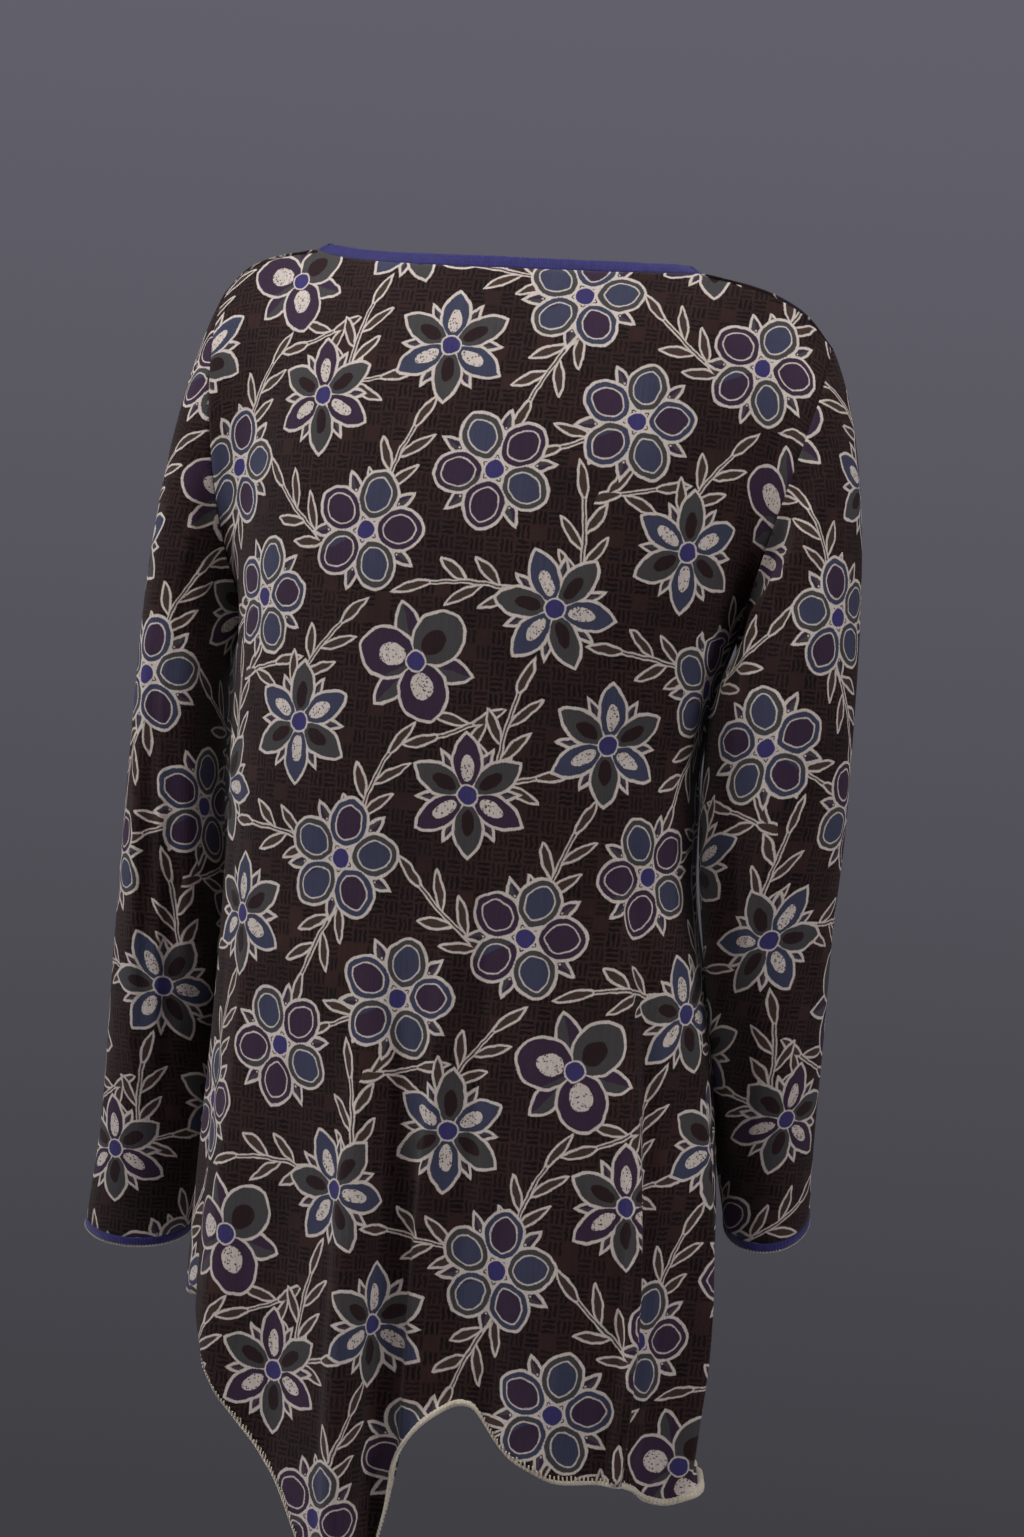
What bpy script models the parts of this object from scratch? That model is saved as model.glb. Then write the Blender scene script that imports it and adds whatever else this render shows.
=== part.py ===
"""Long knitted cardigan, worn pose, as hollow cloth walls. Blender 4.5, metres, +Z up.

The wearer faces -Y, so the back panel faces +Y and the wearer's left side is at +X.
The origin is the middle of the neck opening, level with the two neck points that the shoulders carry.
Every panel is a closed wall: an outer grid of points, an inner grid one wall deeper, and a rim.
"""

import math
from collections import namedtuple

import bpy
import numpy as np

# Cloth
WALL = 0.0018
BAND_WALL = 0.0028
SEAM_GAP = 0.0003
BAND_GAP = 0.0004

# Grid of the panels: columns run down the body, rows run round it
SHOULDER_COLUMNS = 5
BACK_NECK_COLUMNS = 36
FRONT_NECK_COLUMNS = 13
YOKE_ROWS = 10
SKIRT_ROWS = 20
CAP_ROWS = 8
TUBE_ROWS = 16
FINE_STEPS = 721
TANGENT_STEP = 0.5
EVEN_PASSES = 4
LEAVE_PASSES = 2
RELAX_PASSES = 16
RELAX_BELOW = 3

# Neck opening
NECK_HALF_WIDTH = 0.139
NECK_POINT_Y = 0.022
NECK_POINT_LIFT = {"left": 0.0055, "right": 0.0}
NECK_LIFT_POWER = 6
BACK_NECK_Y = 0.066
BACK_NECK_DROP = 0.008
BACK_NECK_POWER = 2.2
FRONT_NECK_Y = -0.098
FRONT_NECK_DROP = 0.085
FRONT_NECK_POWER = 1.9
FRONT_NECK_SINK = 1.5
NECK_BAND_HEIGHT = 0.010
NECK_BAND_TOP = 0.03

# Shoulder tips, where the shoulder seam meets the sleeve
SHOULDER_TIP = {"left": (0.211, 0.004, -0.024), "right": (-0.232, 0.004, -0.046)}
SHOULDER_RISE = {"left": 0.0100, "right": 0.0145}
SHOULDER_SKEW = 0.7
UNDERARM_Z = -0.255

# Front opening: the two bands hang edge to edge
FRONT_BAND_WIDTH = 0.012
FRONT_GAP_TOP = 0.010
FRONT_GAP_HEM = 0.036
FRONT_GAP_TOP_Z = -0.10
FRONT_HEM_Z = -0.83

# Cuffs
CUFF_BAND_HEIGHT = 0.007

# Horizontal sections of the body, from its axis to the cloth
SECTION_POWER = 2.25
Section = namedtuple("Section", "z left right back front")
SECTIONS = (
    Section(-0.255, 0.1785, 0.1780, 0.118, 0.122),
    Section(-0.305, 0.1770, 0.1610, 0.116, 0.121),
    Section(-0.370, 0.1760, 0.1595, 0.113, 0.119),
    Section(-0.430, 0.1755, 0.1620, 0.110, 0.113),
    Section(-0.500, 0.1755, 0.1755, 0.111, 0.112),
    Section(-0.570, 0.1770, 0.1855, 0.115, 0.115),
    Section(-0.660, 0.1800, 0.1940, 0.120, 0.119),
    Section(-0.740, 0.1810, 0.1950, 0.121, 0.121),
    Section(-0.800, 0.1780, 0.1900, 0.120, 0.120),
    Section(-0.880, 0.1700, 0.1850, 0.118, 0.119),
    Section(-0.970, 0.1650, 0.1850, 0.116, 0.118),
)

# Angles round the body: 0 degrees is the wearer's left side, 90 the centre back
LEFT_SEAM, RIGHT_SEAM = 0, 180

# Height of the hem round the body
HemPoint = namedtuple("HemPoint", "angle z")
HEM = (
    HemPoint(-90, -0.800),
    HemPoint(-65, -0.812),
    HemPoint(-45, -0.800),
    HemPoint(-25, -0.765),
    HemPoint(-8, -0.745),
    HemPoint(10, -0.742),
    HemPoint(29, -0.750),
    HemPoint(39, -0.773),
    HemPoint(48, -0.799),
    HemPoint(60, -0.835),
    HemPoint(68, -0.861),
    HemPoint(77, -0.918),
    HemPoint(80, -0.940),
    HemPoint(83, -0.950),
    HemPoint(86, -0.932),
    HemPoint(91, -0.850),
    HemPoint(95, -0.808),
    HemPoint(99, -0.790),
    HemPoint(104, -0.781),
    HemPoint(109, -0.797),
    HemPoint(115, -0.815),
    HemPoint(122, -0.825),
    HemPoint(140, -0.827),
    HemPoint(152, -0.836),
    HemPoint(162, -0.8455),
    HemPoint(168, -0.8425),
    HemPoint(176, -0.830),
    HemPoint(186, -0.826),
    HemPoint(200, -0.826),
    HemPoint(215, -0.822),
    HemPoint(240, -0.814),
    HemPoint(270, -0.800),
)

# Soft folds: ridges stand out, troughs lie in. Angles are at the fold's foot and at its head,
# and the pinch is the share of its width by which the fold draws the cloth together
Fold = namedtuple("Fold", "foot head width height pinch z_head z_full")
FOLDS = (
    Fold(81, 80, 7, 0.012, 0.45, -0.48, -0.76),
    Fold(91, 90, 8, -0.017, 0.80, -0.45, -0.72),
    Fold(107, 105, 9, -0.013, 0.30, -0.50, -0.80),
    Fold(122, 118, 8, 0.007, 0.20, -0.45, -0.80),
    Fold(139, 136, 7, 0.011, 0.55, -0.42, -0.78),
    Fold(154, 150, 8, -0.010, 0.30, -0.45, -0.78),
    Fold(170, 169, 7, 0.008, 0.40, -0.50, -0.80),
    Fold(62, 60, 9, -0.008, 0.20, -0.45, -0.78),
    Fold(42, 44, 9, 0.007, 0.20, -0.50, -0.80),
    Fold(22, 24, 9, -0.007, 0.20, -0.45, -0.74),
    Fold(-16, -14, 9, -0.008, 0.30, -0.45, -0.74),
    Fold(-36, -32, 9, 0.011, 0.40, -0.40, -0.76),
    Fold(-54, -50, 9, -0.011, 0.40, -0.42, -0.78),
    Fold(-72, -70, 8, 0.008, 0.30, -0.45, -0.80),
    Fold(254, 252, 8, 0.008, 0.30, -0.45, -0.80),
    Fold(236, 232, 9, -0.011, 0.40, -0.40, -0.80),
    Fold(216, 214, 9, 0.011, 0.40, -0.40, -0.80),
    Fold(196, 197, 9, -0.008, 0.30, -0.45, -0.78),
)

# Control directions of the yoke columns, by share of the way from the sleeve to the centre
YokeColumn = namedtuple("YokeColumn", "share out drop lift")
BACK_YOKE = (
    YokeColumn(0.00, 0.046, -0.030, 0.055),
    YokeColumn(0.16, 0.046, -0.016, 0.095),
    YokeColumn(0.32, 0.045, -0.014, 0.105),
    YokeColumn(0.60, 0.040, -0.040, 0.100),
    YokeColumn(1.00, 0.034, -0.055, 0.095),
)
FRONT_YOKE = (
    YokeColumn(0.00, 0.046, -0.030, 0.055),
    YokeColumn(0.16, 0.046, -0.016, 0.090),
    YokeColumn(0.32, 0.044, -0.020, 0.095),
    YokeColumn(0.60, 0.030, -0.042, 0.085),
    YokeColumn(1.00, 0.014, -0.055, 0.080),
)
# The armhole's own control points, from the shoulder tip down to the underarm
ARMHOLE_SHARE = 0.22
ARMHOLE_UPPER = (0.003, 0.050, -0.044)
ARMHOLE_LOWER = (0.018, 0.054, 0.056)

# Sections of the sleeves: centre, half width across, half depth, and the tilt of the ring in degrees
Ring = namedtuple("Ring", "z x y across deep tilt")
SLEEVES = {
    "left": (
        Ring(-0.315, 0.2190, 0.004, 0.0325, 0.057, 2),
        Ring(-0.380, 0.2186, 0.004, 0.0350, 0.052, 3),
        Ring(-0.450, 0.2190, -0.002, 0.0383, 0.047, 8),
        Ring(-0.540, 0.2228, -0.016, 0.0403, 0.041, 14),
        Ring(-0.630, 0.2315, -0.038, 0.0400, 0.035, 20),
        Ring(-0.702, 0.2438, -0.058, 0.0403, 0.032, 24),
    ),
    "right": (
        Ring(-0.315, -0.2165, 0.002, 0.0480, 0.057, 2),
        Ring(-0.380, -0.2160, 0.000, 0.0480, 0.052, 4),
        Ring(-0.450, -0.2160, -0.008, 0.0435, 0.047, 10),
        Ring(-0.530, -0.2190, -0.024, 0.0375, 0.042, 18),
        Ring(-0.600, -0.2200, -0.045, 0.0325, 0.038, 25),
        Ring(-0.654, -0.2200, -0.064, 0.0305, 0.036, 30),
    ),
}
# Creases of the sleeves: place round the ring in degrees (0 outer, 90 back), its change for each metre
# of height, width, height, and the z about which they lie
CREASE_FADE_ROWS = 3
Crease = namedtuple("Crease", "turn lean width height z reach")
CREASES = {
    "left": (
        Crease(98, -60, 14, 0.005, -0.42, 0.17),
        Crease(68, -60, 16, -0.003, -0.42, 0.14),
        Crease(128, -60, 16, -0.004, -0.40, 0.14),
        Crease(110, -500, 16, -0.004, -0.21, 0.06),
        Crease(270, 0, 16, 0.004, -0.48, 0.14),
        Crease(235, 0, 15, -0.004, -0.45, 0.10),
    ),
    "right": (
        Crease(95, -640, 17, -0.008, -0.20, 0.07),
        Crease(126, -640, 16, 0.006, -0.20, 0.06),
        Crease(118, -100, 16, 0.004, -0.42, 0.12),
        Crease(80, 0, 16, -0.003, -0.47, 0.14),
        Crease(40, 0, 14, 0.003, -0.44, 0.14),
        Crease(270, 0, 16, 0.004, -0.47, 0.14),
        Crease(235, 300, 15, -0.005, -0.24, 0.08),
    ),
}
# How the sleeve leaves the armhole: outward share at the underarm and what the shoulder adds, and the fall
CAP_LEAVE = (0.30, 0.12, -0.93)
CAP_REACH = (0.27, 0.42)
SIDES = {"left": 1.0, "right": -1.0}

# Colours from the cloth: plum-brown ground and violet rib
KNIT_COLOUR = (0.045, 0.028, 0.028, 1.0)
BAND_COLOUR = (0.055, 0.040, 0.190, 1.0)
KNIT_ROUGHNESS = 0.85


def clear_scene():
    for thing in list(bpy.data.objects):
        bpy.data.objects.remove(thing)


def material(name, colour):
    made = bpy.data.materials.new(name)
    made.use_nodes = True
    shader = made.node_tree.nodes["Principled BSDF"]
    shader.inputs["Base Color"].default_value = colour
    shader.inputs["Roughness"].default_value = KNIT_ROUGHNESS
    shader.inputs["Metallic"].default_value = 0.0
    return made


def unit(vectors):
    return vectors / np.linalg.norm(vectors, axis=-1, keepdims=True)


def smooth_table(rows, key):
    """The row that the table would have at key, its first column, on a smooth curve through the rows."""
    table = np.array(rows, float)
    keys = table[:, 0]
    ascending = keys[-1] > keys[0]
    order = keys if ascending else keys[::-1]
    values = table if ascending else table[::-1]
    where = min(max(key, order[0]), order[-1])
    i = int(min(max(np.searchsorted(order, where) - 1, 0), len(order) - 2))
    slopes = np.gradient(values, order, axis=0)
    step = order[i + 1] - order[i]
    t = (where - order[i]) / step
    t2, t3 = t * t, t * t * t
    mixed = (
        (2 * t3 - 3 * t2 + 1) * values[i]
        + (t3 - 2 * t2 + t) * step * slopes[i]
        + (3 * t2 - 2 * t3) * values[i + 1]
        + (t3 - t2) * step * slopes[i + 1]
    )
    return type(rows[0])(*mixed)


def ramp(value, start, full):
    """0 before start, 1 past full, smooth between."""
    t = min(max((value - start) / (full - start), 0.0), 1.0)
    return t * t * (3 - 2 * t)


def section_point(z, angle):
    """The plain body at height z: a rounded section, wider on one side than on the other."""
    section = smooth_table(SECTIONS, z)
    turn = math.radians(angle)
    across, deep = math.cos(turn), math.sin(turn)
    power = 2.0 / SECTION_POWER
    x = (section.left if across > 0 else section.right) * math.copysign(abs(across) ** power, across)
    y = (section.back if deep > 0 else section.front) * math.copysign(abs(deep) ** power, deep)
    return np.array([x, y, z])


def fold_shift(z, angle):
    """How far the folds push the cloth out, and how far they draw it round, in metres and degrees."""
    out, round_by = 0.0, 0.0
    for fold in FOLDS:
        grown = ramp(-z, -fold.z_head, -fold.z_full)
        centre = fold.head + (fold.foot - fold.head) * grown
        away = (angle - centre + 180) % 360 - 180
        bell = grown * math.exp(-((away / fold.width) ** 2))
        out += fold.height * bell
        round_by -= fold.pinch * away * bell
    return out, round_by


def body_point(z, angle):
    """The folded body at height z."""
    out, round_by = fold_shift(z, angle)
    angle += round_by
    along = unit(section_point(z, angle + TANGENT_STEP) - section_point(z, angle - TANGENT_STEP))
    outward = np.array([along[1], -along[0], 0.0])
    return section_point(z, angle) + out * outward


def hem_z(angle):
    return smooth_table(HEM, angle).z


def even_steps(curve, start, end, count):
    """Values from start to end, in count steps that are the same length along a curve."""
    fine = np.linspace(start, end, FINE_STEPS)
    points = np.array([curve(value) for value in fine])
    run = np.concatenate([[0], np.cumsum(np.linalg.norm(np.diff(points, axis=0), axis=1))])
    return np.interp(np.linspace(0, run[-1], count + 1), run, fine)


def even_angles(start, end, count):
    """Angles that part the section at the underarm into equal lengths."""
    return even_steps(lambda angle: section_point(UNDERARM_Z, angle), start, end, count)


def neck_point(side):
    return np.array([SIDES[side] * NECK_HALF_WIDTH, NECK_POINT_Y, NECK_POINT_LIFT[side]])


def neck_lift(share):
    """How far the neckline is drawn up as it nears a neck point."""
    return NECK_POINT_LIFT["left" if share > 0 else "right"] * abs(share) ** NECK_LIFT_POWER


def shoulder_seam(side):
    """Points from the shoulder tip to the neck point."""
    tip, neck = np.array(SHOULDER_TIP[side]), neck_point(side)
    points = []
    for i in range(SHOULDER_COLUMNS + 1):
        t = i / SHOULDER_COLUMNS
        point = tip + (neck - tip) * t
        point[2] += SHOULDER_RISE[side] * math.sin(math.pi * t**SHOULDER_SKEW)
        points.append(point)
    return points


def back_neckline(share):
    """share runs from 1 at the left neck point to -1 at the right one."""
    bow = 1 - abs(share) ** BACK_NECK_POWER
    x = NECK_HALF_WIDTH * share
    y = NECK_POINT_Y + (BACK_NECK_Y - NECK_POINT_Y) * bow
    return np.array([x, y, neck_lift(share) - BACK_NECK_DROP * bow])


def front_neckline(share):
    bow = 1 - abs(share) ** FRONT_NECK_POWER
    x = NECK_HALF_WIDTH * share
    y = NECK_POINT_Y + (FRONT_NECK_Y - NECK_POINT_Y) * bow
    return np.array([x, y, neck_lift(share) - FRONT_NECK_DROP * bow**FRONT_NECK_SINK])


def front_edge_x(z):
    """Half the front opening and its band, at height z."""
    gap = FRONT_GAP_TOP + (FRONT_GAP_HEM - FRONT_GAP_TOP) * ramp(-z, -FRONT_GAP_TOP_Z, -FRONT_HEM_Z)
    return gap / 2 + FRONT_BAND_WIDTH


def bezier(p0, p1, p2, p3, t):
    s = 1 - t
    return s**3 * p0 + 3 * s * s * t * p1 + 3 * s * t * t * p2 + t**3 * p3


def plan_normals(tops, facing):
    """Level directions that leave the shoulder seam and the neckline at right angles, a little evened out."""
    along = np.gradient(np.array(tops)[:, :2], axis=0)
    away = np.stack([along[:, 1], -along[:, 0]], axis=1)
    away = unit(away * np.sign(away[:, 1:2]) * facing)
    for _ in range(LEAVE_PASSES):
        away[1:-1] = (away[:-2] + 2 * away[1:-1] + away[2:]) / 4
    return away


def yoke_column(top, lower_points, away, table, share, side, facing):
    """Points from the shoulder or neckline down to the underarm's height."""
    foot, lower_foot = lower_points[0], lower_points[1]
    leave = smooth_table(table, share)
    upper = top + np.array([away[0] * leave.out, away[1] * leave.out, leave.drop])
    slope = (foot - lower_foot) / (foot[2] - lower_foot[2])
    lower = foot + slope * leave.lift
    blend = 1 - ramp(share, 0.0, ARMHOLE_SHARE)
    sign = SIDES[side]
    arm_upper = top + np.array([ARMHOLE_UPPER[0] * sign, ARMHOLE_UPPER[1] * facing, ARMHOLE_UPPER[2]])
    arm_lower = foot + np.array([ARMHOLE_LOWER[0] * sign, ARMHOLE_LOWER[1] * facing, ARMHOLE_LOWER[2]])
    upper = upper + (arm_upper - upper) * blend
    lower = lower + (arm_lower - lower) * blend
    return [bezier(top, upper, lower, foot, i / YOKE_ROWS) for i in range(YOKE_ROWS)]


def skirt_column(angle_at, bottom):
    """Points from the underarm's height to the hem. angle_at gives the angle at a height."""
    points = []
    for i in range(SKIRT_ROWS + 1):
        z = UNDERARM_Z + (bottom - UNDERARM_Z) * i / SKIRT_ROWS
        points.append(body_point(z, angle_at(z)))
    return points


def relaxed(grid):
    """The yoke with its creases evened out. Its edges and the hem's folds stay where they are."""
    grid = grid.copy()
    rows = slice(1, YOKE_ROWS + RELAX_BELOW)
    above, below = slice(0, rows.stop - 1), slice(2, rows.stop + 1)
    for _ in range(RELAX_PASSES):
        around = grid[:-2, rows] + grid[2:, rows] + grid[1:-1, above] + grid[1:-1, below]
        grid[1:-1, rows] = (grid[1:-1, rows] + around / 4) / 2
    return grid


def back_grid():
    """Columns from the wearer's left side to the right."""
    shares = even_steps(back_neckline, 1, -1, BACK_NECK_COLUMNS)[1:-1]
    neck = [back_neckline(share) for share in shares]
    tops = shoulder_seam("left") + neck + shoulder_seam("right")[::-1]
    count = len(tops) - 1
    angles = even_angles(LEFT_SEAM, RIGHT_SEAM, count)
    columns = []
    for i, (top, angle, away) in enumerate(zip(tops, angles, plan_normals(tops, 1.0))):
        side = "left" if i <= count / 2 else "right"
        share = 1 - abs(1 - 2 * i / count)
        lower = skirt_column(lambda z, a=angle: a, hem_z(angle))
        columns.append(yoke_column(top, lower, away, BACK_YOKE, share, side, 1.0) + lower)
    return relaxed(np.array(columns))


def front_grid(side):
    """Columns from the side seam to the front opening."""
    sign = SIDES[side]
    edge_share = sign * front_edge_x(-FRONT_NECK_DROP) / NECK_HALF_WIDTH
    shares = even_steps(front_neckline, sign, edge_share, FRONT_NECK_COLUMNS)
    tops = shoulder_seam(side)[:-1] + [front_neckline(share) for share in shares]
    count = len(tops) - 1
    start, end = (LEFT_SEAM, LEFT_SEAM - 90) if side == "left" else (RIGHT_SEAM, RIGHT_SEAM + 90)
    span = even_angles(start, end, count)
    columns = []
    for i, (top, angle, away) in enumerate(zip(tops, span, plan_normals(tops, -1.0))):
        share = i / count

        def angle_at(z, angle=angle):
            width = getattr(smooth_table(SECTIONS, z), side)
            edge = math.degrees((front_edge_x(z) / width) ** (SECTION_POWER / 2))
            return start + (angle - start) * (1 - edge / abs(end - start))

        lower = skirt_column(angle_at, hem_z(angle_at(FRONT_HEM_Z)))
        columns.append(yoke_column(top, lower, away, FRONT_YOKE, share, side, -1.0) + lower)
    return relaxed(np.array(columns))


def sleeve_grid(side, back, front):
    """Rings from the armhole to the cuff. A ring starts at the shoulder tip and goes round by the back."""
    sign = SIDES[side]
    back_edge = back[0] if side == "left" else back[-1]
    armhole = list(back_edge[: YOKE_ROWS + 1]) + list(front[0][1:YOKE_ROWS][::-1])
    count = len(armhole)
    turns = [360 * i / count for i in range(count)]

    def ring(z):
        size = smooth_table(SLEEVES[side], z)
        tilt = math.radians(size.tilt)
        points = []
        for turn in turns:
            dx = sign * size.across * math.cos(math.radians(turn))
            dy = size.deep * math.sin(math.radians(turn))
            points.append(np.array([size.x + dx, size.y + dy * math.cos(tilt), z - dy * math.sin(tilt)]))
        return np.array(points)

    z_cap, z_end = SLEEVES[side][0].z, SLEEVES[side][-1].z
    bicep, below = ring(z_cap), ring(z_cap + (z_end - z_cap) / TUBE_ROWS)
    start = np.array(armhole)
    rows = []
    for k in range(CAP_ROWS):
        t = k / CAP_ROWS
        row = []
        for i in range(count):
            height = (1 + math.cos(math.radians(turns[i]))) / 2
            leave = unit(np.array([sign * (CAP_LEAVE[0] + CAP_LEAVE[1] * height), 0.0, CAP_LEAVE[2]]))
            arrive = unit(below[i] - bicep[i])
            reach = np.linalg.norm(bicep[i] - start[i])
            upper = start[i] + leave * reach * CAP_REACH[0]
            lower = bicep[i] - arrive * reach * CAP_REACH[1]
            row.append(bezier(start[i], upper, lower, bicep[i], t))
        rows.append(np.array(row))
    for k in range(TUBE_ROWS + 1):
        rows.append(ring(z_cap + (z_end - z_cap) * k / TUBE_ROWS))
    grid = np.array(rows).transpose(1, 0, 2)
    return grid + grid_normals(grid, True, sign) * crease_heights(side, turns, grid)[..., None]


def crease_heights(side, turns, grid):
    """How far the creases push each point of a sleeve out. The armhole and the cuff keep their shape."""
    z = grid[..., 2]
    rows = grid.shape[1]
    heights = np.zeros(z.shape)
    for crease in CREASES[side]:
        along = z - crease.z
        away = (np.array(turns)[:, None] - crease.turn - crease.lean * along + 180) % 360 - 180
        heights += crease.height * np.exp(-((away / crease.width) ** 2) - (along / crease.reach) ** 2)
    fade = np.minimum(1.0, np.minimum(np.arange(rows), np.arange(rows)[::-1]) / CREASE_FADE_ROWS)
    return heights * fade


def grid_normals(grid, closed, outward):
    """Unit normals of a grid of columns, turned to the side on which outward says the outside lies."""
    if closed:
        along = np.roll(grid, -1, axis=0) - np.roll(grid, 1, axis=0)
    else:
        along = np.gradient(grid, axis=0)
    down = np.gradient(grid, axis=1)
    return unit(np.cross(along, down)) * outward


def solid(name, outer, inner, closed, finish):
    """A closed wall between two grids of the same size. A closed grid is a tube."""
    columns, rows = outer.shape[:2]
    points = [tuple(p) for p in outer.reshape(-1, 3)] + [tuple(p) for p in inner.reshape(-1, 3)]
    shift = columns * rows

    def at(i, j, layer):
        return (i % columns) * rows + j + layer * shift

    faces = []
    spans = columns if closed else columns - 1
    for i in range(spans):
        for j in range(rows - 1):
            faces.append((at(i, j, 0), at(i, j + 1, 0), at(i + 1, j + 1, 0), at(i + 1, j, 0)))
            faces.append((at(i, j, 1), at(i + 1, j, 1), at(i + 1, j + 1, 1), at(i, j + 1, 1)))
        faces.append((at(i, 0, 0), at(i + 1, 0, 0), at(i + 1, 0, 1), at(i, 0, 1)))
        faces.append((at(i, rows - 1, 0), at(i, rows - 1, 1), at(i + 1, rows - 1, 1), at(i + 1, rows - 1, 0)))
    if not closed:
        for j in range(rows - 1):
            faces.append((at(0, j, 0), at(0, j, 1), at(0, j + 1, 1), at(0, j + 1, 0)))
            last = columns - 1
            faces.append((at(last, j, 0), at(last, j + 1, 0), at(last, j + 1, 1), at(last, j, 1)))
    mesh = bpy.data.meshes.new(name)
    mesh.from_pydata(points, [], faces)
    mesh.validate()
    flip_inside_out(mesh)
    mesh.shade_smooth()
    mesh.materials.append(finish)
    made = bpy.data.objects.new(name, mesh)
    bpy.context.scene.collection.objects.link(made)
    return made


def flip_inside_out(mesh):
    """Turns every face round where the volume comes out negative."""
    mesh.calc_loop_triangles()
    volume = 0.0
    for triangle in mesh.loop_triangles:
        a, b, c = (mesh.vertices[v].co for v in triangle.vertices)
        volume += a.dot(b.cross(c))
    if volume < 0:
        mesh.flip_normals()


def neckline(panels):
    """The top row round the neck, from the left front edge by the back to the right front edge."""
    past = SHOULDER_COLUMNS + 1
    back = panels["back"][past - 1 : 1 - past, 0]
    return np.concatenate([panels["left"][past:, 0][::-1], back, panels["right"][past:, 0]])


def even_neckline(normals):
    """Smooths the normals round the neck, so that the band sewn there doesn't twist."""
    ring = neckline(normals)
    for _ in range(EVEN_PASSES):
        ring[1:-1] = unit(ring[:-2] + 2 * ring[1:-1] + ring[2:])
    past = SHOULDER_COLUMNS + 1
    front, back = len(normals["left"]) - past, len(normals["back"]) - 2 * (past - 1)
    normals["left"][past:, 0] = ring[:front][::-1]
    normals["back"][past - 1 : 1 - past, 0] = ring[front : front + back]
    normals["right"][past:, 0] = ring[front + back :]
    normals["left"][past - 1, 0] = ring[front]
    normals["right"][past - 1, 0] = ring[front + back - 1]


def inward(normals, thickness):
    return -normals * thickness


def keep_off(depths, towards):
    """Takes out of each depth what would carry the inner edge across a seam, and keeps its length."""
    towards = np.array(towards, float)
    length = np.linalg.norm(depths, axis=-1, keepdims=True)
    over = np.maximum(depths @ towards, 0.0)[..., None]
    return unit(depths - over * towards) * length


def seam_edges(outer, depths, edges):
    """Moves the edges off their seams by half a gap. edges holds pairs: an index, and the way to the seam."""
    outer, depths = outer.copy(), depths.copy()
    for index, towards in edges:
        depths[index] = keep_off(depths[index], towards)
        outer[index] = outer[index] - np.array(towards) * SEAM_GAP / 2
    return outer, depths


def strip(edge, normals, direction, width, wall):
    """A band that carries on from a panel's edge: outer and inner grids of two rows, one gap away."""
    near = edge + direction * BAND_GAP
    far = edge + direction * (BAND_GAP + width)
    outer = np.stack([near, far], axis=1) + normals[:, None, :] * (wall - WALL) / 2
    inner = outer - normals[:, None, :] * wall
    return outer, inner


def across_edge(edge, normals, towards):
    """The direction in the cloth that leaves an edge at right angles, on the side of the vectors given."""
    tangent = unit(np.gradient(edge, axis=0))
    leaving = unit(np.cross(tangent, normals))
    sign = np.sign(np.sum(leaving * towards, axis=1, keepdims=True))
    return leaving * sign


def share_normals(one, other):
    """Gives both the mean of the two, in place."""
    both = unit(one + other)
    one[:], other[:] = both, both


def build_panels(knit):
    """The back and the two fronts. Returns their grids and normals, for what is sewn to them."""
    panels = {"back": back_grid(), "left": front_grid("left"), "right": front_grid("right")}
    normals = {"back": grid_normals(panels["back"], False, -1.0)}
    normals["left"] = grid_normals(panels["left"], False, 1.0)
    normals["right"] = grid_normals(panels["right"], False, -1.0)
    # Panels share one normal along the side seams and the shoulder seams, so their rims face each other
    for side, edge in (("left", 0), ("right", -1)):
        step = 1 if side == "left" else -1
        share_normals(normals["back"][edge, YOKE_ROWS:], normals[side][0, YOKE_ROWS:])
        for i in range(SHOULDER_COLUMNS + 1):
            share_normals(normals["back"][edge + step * i, 0], normals[side][i, 0])
    even_neckline(normals)
    lower = slice(YOKE_ROWS, None)
    upper = slice(0, YOKE_ROWS + 1)
    ahead, behind = (0, -1, 0), (0, 1, 0)
    left_out, right_out = (1, 0, 0), (-1, 0, 0)
    outer, depths = seam_edges(
        panels["back"],
        inward(normals["back"], WALL),
        (
            ((0, lower), ahead),
            ((-1, lower), ahead),
            ((slice(0, SHOULDER_COLUMNS + 1), 0), ahead),
            ((slice(-1 - SHOULDER_COLUMNS, None), 0), ahead),
            ((0, upper), left_out),
            ((-1, upper), right_out),
        ),
    )
    solid("back", outer, outer + depths, False, knit)
    for side in SIDES:
        outer, depths = seam_edges(
            panels[side],
            inward(normals[side], WALL),
            (
                ((0, lower), behind),
                ((slice(0, SHOULDER_COLUMNS + 1), 0), behind),
                ((0, upper), left_out if side == "left" else right_out),
            ),
        )
        solid("front_" + side, outer, outer + depths, False, knit)
    return panels, normals


def build_sleeve(side, panels, knit, band):
    sign = SIDES[side]
    grid = sleeve_grid(side, panels["back"], panels[side])
    normals = grid_normals(grid, True, sign)
    outer, depths = seam_edges(grid, inward(normals, WALL), (((slice(None), 0), (-sign, 0, 0)),))
    solid("sleeve_" + side, outer, outer + depths, True, knit)
    down = unit(grid[:, -1] - grid[:, -2])
    outer, inner = strip(grid[:, -1], normals[:, -1], down, CUFF_BAND_HEIGHT, BAND_WALL)
    solid("cuff_band_" + side, outer, inner, True, band)


def build_neck_band(panels, normals, band):
    """One strip round the neck. Returns its directions, for the front bands that cover its ends."""
    edge, normal = neckline(panels), neckline(normals)
    centre = np.array([0.0, 0.0, NECK_BAND_TOP])
    direction = across_edge(edge, normal, centre - edge)
    direction[[0, -1], 0] = 0.0
    direction = unit(direction - normal * np.sum(direction * normal, axis=1, keepdims=True))
    outer, inner = strip(edge, normal, direction, NECK_BAND_HEIGHT, BAND_WALL)
    solid("neck_band", outer, inner, False, band)
    return direction


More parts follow.
